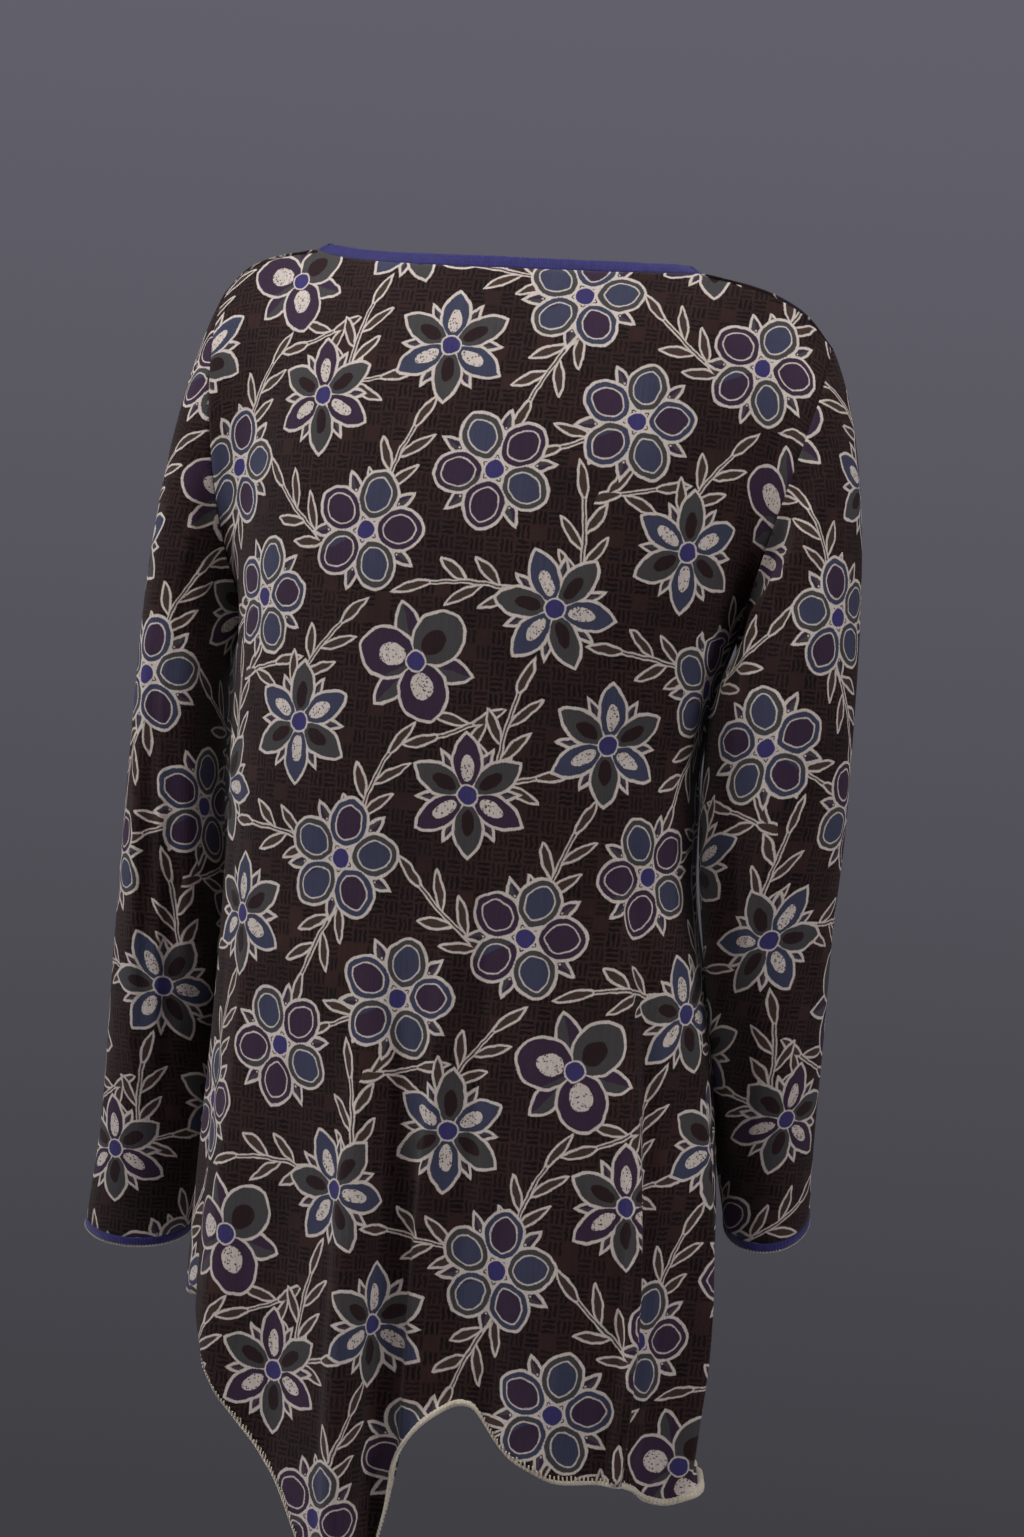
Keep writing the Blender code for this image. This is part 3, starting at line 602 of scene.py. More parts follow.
class BodyForm:
    """The body that the solids follow: level sections, a folded skirt and a yoke."""

    def section_point(self, z: float, angle: float) -> Points:
        """The plain body at height z, at an angle in degrees.

        Args:
            z: The height.
            angle: 0 is the wearer's left, 90 the back.

        Returns:
            The point.
        """
        section = smooth_table(SECTIONS, z)
        turn = math.radians(angle)
        across, deep = math.cos(turn), math.sin(turn)
        power = 2.0 / SECTION_POWER
        x = (section.left if across > 0 else section.right) * math.copysign(abs(across) ** power, across)
        y = (section.back if deep > 0 else section.front) * math.copysign(abs(deep) ** power, deep)
        return np.array([x, y, z])

    def body_point(self, z: float, angle: float) -> Points:
        """The folded body at height z, at an angle in degrees.

        Args:
            z: The height.
            angle: 0 is the wearer's left, 90 the back.

        Returns:
            The point.
        """
        out, round_by = 0.0, 0.0
        for fold in FOLDS:
            grown = ramp(-z, -fold.z_head, -fold.z_full)
            centre = fold.head + (fold.foot - fold.head) * grown
            away = (angle - centre + 180) % 360 - 180
            bell = grown * math.exp(-((away / fold.width) ** 2))
            out += fold.height * bell
            round_by -= fold.pinch * away * bell
        angle += round_by
        ahead, behind = angle + TANGENT_STEP, angle - TANGENT_STEP
        along = unit(self.section_point(z, ahead) - self.section_point(z, behind))
        return self.section_point(z, angle) + out * np.array([along[1], -along[0], 0.0])

    def hem_z(self, angle: float) -> float:
        """The height of the hem at an angle in degrees."""
        return smooth_table(HEM, angle).z

    def even_angles(self, start: float, end: float, count: int) -> Points:
        """Angles that part the section at the underarm into equal lengths."""
        return even_steps(lambda angle: self.section_point(UNDERARM_Z, angle), start, end, count)

    def shoulder_seam(self, side: Side) -> list[Points]:
        """Points from the shoulder tip to the neck point.

        Args:
            side: Which shoulder.

        Returns:
            The points in order.
        """
        tip = np.array(SHOULDER_TIP[side])
        neck = self.back_neckline(float(side.value))
        points = []
        for t in np.linspace(0, 1, SHOULDER_COLUMNS + 1):
            point = tip + (neck - tip) * t
            point[2] += SHOULDER_RISE[side] * math.sin(math.pi * t**SHOULDER_SKEW)
            points.append(point)
        return points

    def neck_lift(self, share: float) -> float:
        """How far the neckline is drawn up as it nears a neck point."""
        side = Side.LEFT if share > 0 else Side.RIGHT
        return NECK_POINT_LIFT[side] * abs(share) ** NECK_LIFT_POWER

    def back_neckline(self, share: float) -> Points:
        """The back neckline, from 1 at the left neck point to -1 at the right one.

        Args:
            share: The place between the neck points.

        Returns:
            The point.
        """
        bow = 1 - abs(share) ** BACK_NECK_POWER
        y = NECK_POINT_Y + (BACK_NECK_Y - NECK_POINT_Y) * bow
        return np.array([NECK_HALF_WIDTH * share, y, self.neck_lift(share) - BACK_NECK_DROP * bow])

    def front_neckline(self, share: float) -> Points:
        """The front neckline, from 1 at the left neck point to -1 at the right one.

        Args:
            share: The place between the neck points.

        Returns:
            The point.
        """
        bow = 1 - abs(share) ** FRONT_NECK_POWER
        y = NECK_POINT_Y + (FRONT_NECK_Y - NECK_POINT_Y) * bow
        z = self.neck_lift(share) - FRONT_NECK_DROP * bow**FRONT_NECK_SINK
        return np.array([NECK_HALF_WIDTH * share, y, z])

    def front_edge_x(self, z: float) -> float:
        """Half the front opening and its rib, at height z."""
        grown = ramp(-z, -FRONT_GAP_TOP_Z, -FRONT_HEM_Z)
        return (FRONT_GAP_TOP + (FRONT_GAP_HEM - FRONT_GAP_TOP) * grown) / 2 + FRONT_BAND_WIDTH

    def plan_normals(self, tops: list[Points], facing: float) -> Points:
        """Level directions that leave the shoulder seam and the neckline at right angles.

        Args:
            tops: The upper edge's points.
            facing: 1 for the back, -1 for a front.

        Returns:
            A direction for each point.
        """
        along = np.gradient(np.array(tops)[:, :2], axis=0)
        away = np.stack([along[:, 1], -along[:, 0]], axis=1)
        away = unit(away * np.sign(away[:, 1:2]) * facing)
        for _ in range(LEAVE_PASSES):
            away[1:-1] = (away[:-2] + 2 * away[1:-1] + away[2:]) / 4
        return away

    def yoke_column(
        self,
        top: Points,
        lower_points: list[Points],
        away: Points,
        table: Sequence[YokeColumn],
        share: float,
        side: Side,
        facing: float,
    ) -> list[Points]:
        """Points from the shoulder or neckline down to the underarm's height.

        Args:
            top: The point at which the column starts.
            lower_points: The column's points below the underarm.
            away: The level direction in which it leaves its top.
            table: The control directions of this panel's yoke.
            share: 0 at the sleeve and 1 at the panel's centre.
            side: The nearer side of the wearer.
            facing: 1 on the back and -1 on the front.

        Returns:
            The points above the underarm.
        """
        foot, lower_foot = lower_points[0], lower_points[1]
        leave = smooth_table(table, share)
        upper = top + np.array([away[0] * leave.out, away[1] * leave.out, leave.drop])
        slope = (foot - lower_foot) / (foot[2] - lower_foot[2])
        lower = foot + slope * leave.lift
        blend = 1 - ramp(share, 0.0, ARMHOLE_SHARE)
        turned = np.array([side.value, facing, 1.0])
        upper = upper + (top + turned * ARMHOLE_UPPER - upper) * blend
        lower = lower + (foot + turned * ARMHOLE_LOWER - lower) * blend
        return [bezier(top, upper, lower, foot, i / YOKE_ROWS) for i in range(YOKE_ROWS)]

    def skirt_column(self, angle_at: Callable[[float], float], bottom: float) -> list[Points]:
        """Points from the underarm's height to the hem."""
        heights = np.linspace(UNDERARM_Z, bottom, SKIRT_ROWS + 1)
        return [self.body_point(z, angle_at(z)) for z in heights]

    def relaxed(self, grid: Points) -> Points:
        """The yoke with its creases evened out, its edges and the skirt's folds left as they are.

        Args:
            grid: A panel's points.

        Returns:
            The evened points.
        """
        grid = grid.copy()
        rows = slice(1, YOKE_ROWS + RELAX_BELOW)
        above, below = slice(0, rows.stop - 1), slice(2, rows.stop + 1)
        for _ in range(RELAX_PASSES):
            around = grid[:-2, rows] + grid[2:, rows] + grid[1:-1, above] + grid[1:-1, below]
            grid[1:-1, rows] = (grid[1:-1, rows] + around / 4) / 2
        return grid

    def back_grid(self) -> tuple[Points, Points]:
        """The back, from the wearer's left side to the right.

        Returns:
            The points, and the angle of each one.
        """
        shares = even_steps(self.back_neckline, 1, -1, BACK_NECK_COLUMNS)[1:-1]
        neck = [self.back_neckline(share) for share in shares]
        tops = self.shoulder_seam(Side.LEFT) + neck + self.shoulder_seam(Side.RIGHT)[::-1]
        count = len(tops) - 1
        angles = self.even_angles(LEFT_SEAM, RIGHT_SEAM, count)
        columns = []
        for i, (top, angle, away) in enumerate(zip(tops, angles, self.plan_normals(tops, 1.0))):
            side = Side.LEFT if i <= count / 2 else Side.RIGHT
            share = 1 - abs(1 - 2 * i / count)
            lower = self.skirt_column(lambda z, a=angle: a, self.hem_z(angle))
            columns.append(self.yoke_column(top, lower, away, BACK_YOKE, share, side, 1.0) + lower)
        grid = self.relaxed(np.array(columns))
        return grid, np.repeat(angles[:, None], grid.shape[1], axis=1)

    def front_grid(self, side: Side) -> tuple[Points, Points]:
        """A front, from the side seam to the front opening.

        Args:
            side: The wearer's side.

        Returns:
            The points, and the angle of each one.
        """
        edge_share = side.value * self.front_edge_x(-FRONT_NECK_DROP) / NECK_HALF_WIDTH
        shares = even_steps(self.front_neckline, side.value, edge_share, FRONT_NECK_COLUMNS)
        tops = self.shoulder_seam(side)[:-1] + [self.front_neckline(share) for share in shares]
        count = len(tops) - 1
        left = side is Side.LEFT
        start, end = (LEFT_SEAM, LEFT_SEAM - 90) if left else (RIGHT_SEAM, RIGHT_SEAM + 90)
        span = self.even_angles(start, end, count)
        columns, angles = [], []
        for i, (top, angle, away) in enumerate(zip(tops, span, self.plan_normals(tops, -1.0))):

            def angle_at(z: float, angle: float = angle) -> float:
                """The column's angle at height z, which makes room for the opening.

                Args:
                    z: The height.
                    angle: The column's own angle.

                Returns:
                    The angle in degrees.
                """
                width = getattr(smooth_table(SECTIONS, z), side.word)
                edge = math.degrees((self.front_edge_x(z) / width) ** (SECTION_POWER / 2))
                return start + (angle - start) * (1 - edge / abs(end - start))

            bottom = self.hem_z(angle_at(FRONT_HEM_Z))
            lower = self.skirt_column(angle_at, bottom)
            upper = self.yoke_column(top, lower, away, FRONT_YOKE, i / count, side, -1.0)
            columns.append(upper + lower)
            heights = np.linspace(UNDERARM_Z, bottom, SKIRT_ROWS + 1)
            angles.append([angle_at(UNDERARM_Z)] * YOKE_ROWS + [angle_at(z) for z in heights])
        return self.relaxed(np.array(columns)), np.array(angles)


class SleeveForm:
    """A sleeve that the solids follow, from the armhole to the cuff."""

    def __init__(self, side: Side, back: Points, front: Points) -> None:
        """Takes the armhole from the panels.

        Args:
            side: The wearer's side.
            back: The back's coarse grid.
            front: The front's coarse grid on this side.
        """
        self.side = side
        edge = back[0] if side is Side.LEFT else back[-1]
        self.armhole = np.concatenate([edge[: YOKE_ROWS + 1], front[0][1:YOKE_ROWS][::-1]])
        self.turns = 360 * np.arange(len(self.armhole)) / len(self.armhole)

    def ring(self, z: float) -> Points:
        """The sleeve's section at height z.

        Args:
            z: The height of its middle.

        Returns:
            The ring's points.
        """
        size = smooth_table(SLEEVES[self.side], z)
        tilt, turns = math.radians(size.tilt), np.radians(self.turns)
        dx = self.side.value * size.across * np.cos(turns)
        dy = size.deep * np.sin(turns)
        return np.stack([size.x + dx, size.y + dy * math.cos(tilt), z - dy * math.sin(tilt)], axis=1)

    def cap_row(self, t: float, bicep: Points, below: Points) -> Points:
        """A row of the sleeve cap, at a share of the way from the armhole to the sleeve's first ring.

        Args:
            t: The share.
            bicep: The first ring.
            below: The ring after it.

        Returns:
            The row's points.
        """
        height = (1 + np.cos(np.radians(self.turns))) / 2
        outward = self.side.value * (CAP_LEAVE[0] + CAP_LEAVE[1] * height)
        ways = [outward, np.zeros(len(height)), np.full(len(height), CAP_LEAVE[2])]
        leave = unit(np.stack(ways, axis=1))
        reach = np.linalg.norm(bicep - self.armhole, axis=1, keepdims=True)
        upper = self.armhole + leave * reach * CAP_REACH[0]
        lower = bicep - unit(below - bicep) * reach * CAP_REACH[1]
        return bezier(self.armhole, upper, lower, bicep, t)

    def grid(self) -> Points:
        """Columns that start at the shoulder tip and go round by the back.

        Returns:
            The points, by column and row.
        """
        z_cap, z_end = SLEEVES[self.side][0].z, SLEEVES[self.side][-1].z
        heights = np.linspace(z_cap, z_end, TUBE_ROWS + 1)
        bicep, below = self.ring(heights[0]), self.ring(heights[1])
        rows = [self.cap_row(k / CAP_ROWS, bicep, below) for k in range(CAP_ROWS)]
        rows += [self.ring(z) for z in heights]
        grid = np.array(rows).transpose(1, 0, 2)
        normals = grid_normals(grid, True, self.side.value)
        return grid + normals * self.crease_heights(grid)[..., None]

    def crease_heights(self, grid: Points) -> Points:
        """How far the creases push each point out. The armhole and the cuff keep their shape.

        Args:
            grid: The sleeve's points.

        Returns:
            The height at each point.
        """
        z = grid[..., 2]
        rows = np.arange(grid.shape[1])
        heights = np.zeros(z.shape)
        for crease in CREASES[self.side]:
            along = z - crease.z
            away = (self.turns[:, None] - crease.turn - crease.lean * along + 180) % 360 - 180
            heights += crease.height * np.exp(-((away / crease.width) ** 2) - (along / crease.reach) ** 2)
        return heights * np.minimum(1.0, np.minimum(rows, rows[::-1]) / CREASE_FADE_ROWS)


class Value:
    """A socket that takes part in sums as a number or a vector does."""

    def __init__(self, tree: "Tree", socket: bpy.types.NodeSocket) -> None:
        """Keeps the socket and the tree that holds it."""
        self.tree, self.socket = tree, socket

    def sum_node(self, operation: str, *parts: Number) -> "Value":
        """Adds a Math node.

        Args:
            operation: The node's operation.
            parts: Its inputs, in order.

        Returns:
            Its result.
        """
        return self.tree.out("ShaderNodeMath", {"operation": operation}, dict(enumerate(parts)))

    def __add__(self, other: Number) -> "Value":
        """Self plus other."""
        return self.sum_node("ADD", self, other)

    def __sub__(self, other: Number) -> "Value":
        """Self minus other."""
        return self.sum_node("SUBTRACT", self, other)

    def __mul__(self, other: Number) -> "Value":
        """Self times other."""
        return self.sum_node("MULTIPLY", self, other)

    def __truediv__(self, other: Number) -> "Value":
        """Self over other."""
        return self.sum_node("DIVIDE", self, other)

    def __mod__(self, other: Number) -> "Value":
        """What is left of self over other, never negative."""
        return self.sum_node("FLOORED_MODULO", self, other)

    def __gt__(self, other: Number) -> "Value":
        """1 where self is the greater, else 0."""
        return self.sum_node("GREATER_THAN", self, other)

    __radd__ = __add__
    __rmul__ = __mul__

    def __rsub__(self, other: Number) -> "Value":
        """Other minus self."""
        return self.sum_node("SUBTRACT", other, self)

    def __rtruediv__(self, other: Number) -> "Value":
        """Other over self."""
        return self.sum_node("DIVIDE", other, self)

    def __neg__(self) -> "Value":
        """Self with its sign changed."""
        return self * -1.0

    def __abs__(self) -> "Value":
        """Self without its sign."""
        return self.sum_node("ABSOLUTE", self)

    def sin(self) -> "Value":
        """The sine of self in radians."""
        return self.sum_node("SINE", self)

    def cos(self) -> "Value":
        """The cosine of self in radians."""
        return self.sum_node("COSINE", self)

    def root(self) -> "Value":
        """The square root."""
        return self.sum_node("SQRT", self)

    def floor(self) -> "Value":
        """The whole number below."""
        return self.sum_node("FLOOR", self)

    def nearest(self) -> "Value":
        """The nearest whole number."""
        return self.sum_node("ROUND", self)

    def angle_from(self, across: "Value") -> "Value":
        """The angle of the point (across, self), in radians."""
        return self.sum_node("ARCTAN2", self, across)

    def least(self, other: Number) -> "Value":
        """The smaller of the two."""
        return self.sum_node("MINIMUM", self, other)

    def most(self, other: Number) -> "Value":
        """The greater of the two."""
        return self.sum_node("MAXIMUM", self, other)

    def below(self, edge: Number, soft: float) -> "Value":
        """1 below an edge and 0 above it, over a soft step."""
        inputs = {"Value": self - edge, "From Min": -soft, "From Max": soft, "To Min": 1.0, "To Max": 0.0}
        return self.tree.out("ShaderNodeMapRange", {}, inputs)

    def near(self, half: Number, soft: float) -> "Value":
        """1 where self is within half of nothing."""
        return abs(self).below(half, soft)


class Tree:
    """A node tree that is written as sums and named nodes."""

    def __init__(self, nodes: bpy.types.NodeTree) -> None:
        """Keeps the tree that is filled."""
        self.nodes = nodes

    def node(self, kind: str, settings: dict, inputs: dict) -> bpy.types.Node:
        """Adds a node.

        Args:
            kind: The node's type.
            settings: Its properties, and its ramp's stops under the name stops.
            inputs: The values or links of its sockets, by name or place.

        Returns:
            The node.
        """
        made = self.nodes.nodes.new(kind)
        for name, value in settings.items():
            if name == "stops":
                self.set_stops(made.color_ramp, value)
            else:
                setattr(made, name, value)
        for key, value in inputs.items():
            self.feed(made.inputs[key], value)
        return made

    def set_stops(self, ramp_: bpy.types.ColorRamp, stops: Sequence[tuple]) -> None:
        """Gives a ramp its stops, each a place and a colour.

        Args:
            ramp_: The ramp.
            stops: The places and colours.
        """
        while len(ramp_.elements) < len(stops):
            ramp_.elements.new(1.0)
        for element, (place, colour) in zip(ramp_.elements, stops):
            element.position, element.color = place, colour

    def feed(self, socket: bpy.types.NodeSocket, value: object) -> None:
        """Links a value to a socket, or sets it there.

        Args:
            socket: The socket.
            value: A link's source, or a plain value.
        """
        if isinstance(value, Value):
            self.nodes.links.new(value.socket, socket)
        else:
            socket.default_value = value

    def out(self, kind: str, settings: dict, inputs: dict, output: Union[int, str] = 0) -> Value:
        """Adds a node and returns one of its outputs."""
        return Value(self, self.node(kind, settings, inputs).outputs[output])

    def mix(self, share: Number, low: object, high: object) -> Value:
        """A colour between two, low at 0 and high at 1."""
        inputs = {"Factor": share, 6: low, 7: high}
        return self.out("ShaderNodeMix", {"data_type": "RGBA"}, inputs, 2)

    def vector(self, x: Number, y: Number, z: Number = 0.0) -> Value:
        """A vector of three numbers."""
        return self.out("ShaderNodeCombineXYZ", {}, {0: x, 1: y, 2: z})

    def parts(self, vector: Value) -> tuple[Value, Value, Value]:
        """The three numbers of a vector."""
        made = self.node("ShaderNodeSeparateXYZ", {}, {0: vector})
        return tuple(Value(self, made.outputs[i]) for i in range(3))

    def noise(self, vector: Value, scale: float, detail: float = 2.0) -> Value:
        """Soft noise from 0 to 1."""
        inputs = {"Vector": vector, "Scale": scale, "Detail": detail}
        return self.out("ShaderNodeTexNoise", {"noise_dimensions": "3D"}, inputs, 0)

    def chances(self, x: Number, y: Number, z: Number) -> tuple[Value, Value, Value]:
        """Three numbers from 0 to 1 that belong to a cell.

        Args:
            x: The cell's first number.
            y: Its second.
            z: The seed.

        Returns:
            The three numbers.
        """
        inputs = {"Vector": self.vector(x, y, z)}
        colour = self.out("ShaderNodeTexWhiteNoise", {"noise_dimensions": "3D"}, inputs, "Color")
        made = self.node("ShaderNodeSeparateColor", {}, {0: colour})
        return tuple(Value(self, made.outputs[i]) for i in range(3))


def tone(red: int, green: int, blue: int) -> tuple[float, float, float, float]:
    """A colour that is given as a screen shows it, from 0 to 255, as the shader takes it."""
    shares = (c / 255 for c in (red, green, blue))
    return (*(c / 12.92 if c <= 0.04045 else ((c + 0.055) / 1.055) ** 2.4 for c in shares), 1.0)


class Finish:
    """A material with one shader, whose sockets each finish fills in its own way."""

    def build(self) -> bpy.types.Material:
        """The finished material.

        Returns:
            The material.
        """
        made = bpy.data.materials.new(self.name)
        made.use_nodes = True
        t = Tree(made.node_tree)
        shader = made.node_tree.nodes["Principled BSDF"]
        for socket, value in self.sockets(t).items():
            t.feed(shader.inputs[socket], value)
        return made


@dataclass(frozen=True)
class Bloom:
    """A kind of flower: petals, and the tips that show between them. Lengths in metres."""

    petals: float
    middle: float
    half_length: float
    half_width: float
    tip_middle: float
    tip_half_length: float
    tip_half_width: float
    ringed: float


ROUND_BLOSSOM = Bloom(5, 0.0250, 0.0174, 0.0148, 0.0275, 0.0147, 0.0046, 1.0)
POINTED_DAISY = Bloom(6, 0.0226, 0.0198, 0.0102, 0.0190, 0.0162, 0.0042, 0.0)
THREE_PETAL = Bloom(3, 0.0216, 0.0208, 0.0174, 0.0232, 0.0182, 0.0085, 0.0)
BLOOMS = (ROUND_BLOSSOM, POINTED_DAISY, THREE_PETAL)


@dataclass(frozen=True)
class SprigGrid:
    """A grid of leafy sprigs in the print. Lengths in metres, angles in degrees."""

    pitch: float
    turn: float
    shift: tuple[float, float]
    repeat: int
    seed: float
    start: float
    leaves: float
    turns_in: float
    bend: float
    share: float


@dataclass(frozen=True)
class KnitPrint(Finish):
    """The printed fine knit. Colours are as a screen shows them, lengths in metres."""

    name: str
    strength: float = 1.0
    brown: tuple = tone(60, 39, 35)
    dark: tuple = tone(21, 14, 15)
    stroke: tuple = tone(11, 8, 10)
    cream: tuple = tone(194, 182, 172)
    slate: tuple = tone(58, 60, 79)
    olive: tuple = tone(64, 62, 62)
    plum: tuple = tone(54, 38, 56)
    violet: tuple = tone(57, 51, 98)
    oval: tuple = tone(40, 25, 27)
    leaf: tuple = tone(64, 49, 43)
    pitch: float = 0.100
    turn: float = 26.565
    repeat: int = 3
    outline: float = 0.0010
    soft: float = 0.0003
    leaf_step: float = 0.0235
    leaf_slant: float = 36.0
    leaf_half: float = 0.0136
    leaf_half_width: float = 0.0034
    leaf_gap: float = 0.0012
    leaf_lap: float = 0.001
    stem_half: float = 0.0017
    stem_core: float = 0.0006
    drift: float = 0.014
    ring_inset: float = 0.0050
    dot_scale: float = 520.0
    vein_half: float = 0.0006
    vein_end: float = 0.030
    vein_dashes: float = 420.0
    centre_rim: float = 0.0076
    centre: float = 0.0064
    wobble: float = 0.0030
    fray: float = 0.0007
    hatch_cell: float = 0.0104
    hatch_strokes: float = 3.0
    wale: float = 0.0010
    course: float = 0.0013
    roughness: float = 0.86
    map_name: str = "ClothMap"

    def sockets(self, t: Tree) -> dict[str, object]:
        """The shader's sockets and what feeds them.

        Args:
            t: The tree.

        Returns:
            The sockets by name, each with its value or link.
        """
        flat = t.out("ShaderNodeUVMap", {"uv_map": self.map_name}, {})
        u, v, _ = t.parts(flat)
        pu = u + self.waver(t, flat, flat)
        pv = v + self.waver(t, t.vector(v, u, 3.0), t.vector(v, u, 5.0))
        colour = self.hatch(t, u, v, flat)
        for grid in SPRIG_GRIDS:
            colour = self.sprigs(t, pu, pv, grid, colour)
        colour = self.flowers(t, pu, pv, colour)
        colour = self.knit_shade(t, u, v, flat, colour)
        return {
            "Base Color": colour,
            "Normal": self.knit_bump(t, u, v),
            "Roughness": t.noise(flat, 160.0) * 0.12 + (self.roughness - 0.06),
            "Specular IOR Level": 0.10,
            "Sheen Weight": 0.05,
            "Sheen Roughness": 0.45,
        }

    def waver(self, t: Tree, slow: Value, fast: Value) -> Value:
        """How far the print strays: in slow waves, and in a fine fray at its edges."""
        waves = (t.noise(slow, 90.0, 1.0) - 0.5) * self.wobble
        return waves + (t.noise(fast, 900.0, 0.0) - 0.5) * self.fray

    def cell(self, u: Value, v: Value, pitch: float, turn: float, shift: tuple) -> tuple:
        """Parts the cloth into a grid of square cells.

        Args:
            u: The place across the cloth.
            v: The place up the cloth.
            pitch: The cell's side.
            turn: The grid's turn in degrees.
            shift: The grid's shift, in cells.

        Returns:
            The place from the cell's centre, across and up, and the cell's two numbers.
        """
        c, s = math.cos(math.radians(turn)) / pitch, math.sin(math.radians(turn)) / pitch
        across = u * c + v * s + shift[0]
        up = v * c - u * s + shift[1]
        i, j = across.floor(), up.floor()
        return (across - i - 0.5) * pitch, (up - j - 0.5) * pitch, i, j

    def turned(self, x: Value, y: Value, angle: Number) -> tuple[Value, Value]:
        """The place in axes that are turned by an angle in radians."""
        c, s = angle.cos(), angle.sin()
        return x * c + y * s, y * c - x * s

    def lens(self, x: Value, y: Value, middle: Number, half_length: Number, half_width: Number) -> Value:
        """The distance from the edge of a petal or leaf, negative inside it.

        Args:
            x: The place along it.
            y: The place across it, not negative.
            middle: Where along it is widest.
            half_length: Half its length.
            half_width: Half its width.

        Returns:
            The distance.
        """
        radius = (half_length * half_length + half_width * half_width) / (half_width * 2.0)
        off, down = x - middle, y + (radius - half_width)
        return (off * off + down * down).root() - radius

    def hatch(self, t: Tree, u: Value, v: Value, flat: Value) -> Value:
        """The ground: short dark strokes in small groups that lie across each other.

        Args:
            t: The tree.
            u: The place across the cloth.
            v: The place up the cloth.
            flat: Both as one vector.

        Returns:
            The colour.
        """
        p, q = u / self.hatch_cell, v / self.hatch_cell
        i, j = p.floor(), q.floor()
        x, y = p - i, q - j
        swap = (i + j) % 2.0
        along = x + (y - x) * swap
        across = y + (x - y) * swap
        jitter = t.noise(flat, 260.0, 1.0) - 0.5
        stroke = ((across + jitter * 0.30) * self.hatch_strokes) % 1.0
        line = (stroke - 0.5).near(0.28, 0.10)
        ends = (along - 0.5 + jitter * 0.35).near(0.43, 0.06)
        some, much, _ = t.chances(i, j, 4.0)
        kept = 1.0 - (some > 0.92)
        strokes = line * ends * kept * (0.70 + much * 0.30)
        clouds = t.noise(flat, 16.0)
        ground = t.mix(clouds, self.brown, self.dark)
        return t.mix(strokes * 0.95, t.mix(0.80, self.brown, ground), self.stroke)

    def sprigs(self, t: Tree, u: Value, v: Value, grid: SprigGrid, under: Value) -> Value:
        """Lays a grid of leafy sprigs on what is under it.

        Args:
            t: The tree.
            u: The place across the cloth.
            v: The place up the cloth.
            grid: The sprigs' sizes and places.
            under: The colour so far.

        Returns:
            The colour.
        """
        x, y, i, j = self.cell(u, v, grid.pitch, grid.turn, grid.shift)
        quarter, lean, bow = t.chances(i % float(grid.repeat), j % float(grid.repeat), grid.seed)
        angle = (quarter * 4.0).floor() * (math.pi / 2) + (lean - 0.5) * 0.7 + math.radians(grid.turns_in)
        x, y = self.turned(x, y, angle)
        x = x - grid.start
        y = y - x * x * ((bow - 0.5) * grid.bend)
        stem_length = grid.leaves * self.leaf_step
        x = x + (y > 0.0) * (self.leaf_step / 2)
        number = (x / self.leaf_step).floor()
        leaf_x = x - number * self.leaf_step
        slant = math.radians(self.leaf_slant)
        side_y = abs(y)
        along = leaf_x * math.cos(slant) + side_y * math.sin(slant)
        across = abs(side_y * math.cos(slant) - leaf_x * math.sin(slant))
        middle = self.leaf_gap + self.leaf_half
        leaf = self.lens(along, across, middle, self.leaf_half, self.leaf_half_width)
        unused = (number > grid.leaves - 0.5) + (-0.5 - number > 0.0)
        kept, _, _ = t.chances(i % float(grid.repeat), j % float(grid.repeat), grid.seed + 20)
        missing = kept > grid.share
        leaf = leaf + unused
        stem_x = x - (y > 0.0) * (self.leaf_step / 2)
        outside = (stem_x - stem_length).most(-stem_x)
        size = (self.leaf_half, self.leaf_half_width)
        end_leaf = self.lens(stem_x, side_y, stem_length + self.leaf_half - self.leaf_lap, *size)
        start_leaf = self.lens(stem_x, side_y, self.leaf_lap - self.leaf_half, *size)
        leaves = leaf.least(end_leaf).least(start_leaf) + missing
        line, soft = self.outline * 0.80, self.soft
        stem = side_y.most(outside) + missing
        colour = t.mix(leaves.below(0.0, soft), under, self.leaf)
        colour = t.mix(leaves.near(line, soft), colour, self.cream)
        colour = t.mix(stem.below(self.stem_half, soft), colour, self.cream)
        return t.mix(stem.below(self.stem_core, soft), colour, self.leaf)

    def flowers(self, t: Tree, u: Value, v: Value, under: Value) -> Value:
        """Lays the flowers on what is under them.

        Args:
            t: The tree.
            u: The place across the cloth.
            v: The place up the cloth.
            under: The colour so far.

        Returns:
            The colour.
        """
        x, y, i, j = self.cell(u, v, self.pitch, self.turn, (0.0, 0.0))
        i, j = i % float(self.repeat), j % float(self.repeat)
        kind, spin, tint = t.chances(i, j, 1.0)
        off_x, off_y, _ = t.chances(i, j, 2.0)
        x, y = x - (off_x - 0.5) * self.drift, y - (off_y - 0.5) * self.drift
        second, third = kind > 1 / 3, kind > 2 / 3

        def by_kind(size: str) -> Value:
            """A size of the flower in this cell."""
            a, b, c = (getattr(bloom, size) for bloom in BLOOMS)
            return second * (b - a) + third * (c - b) + a

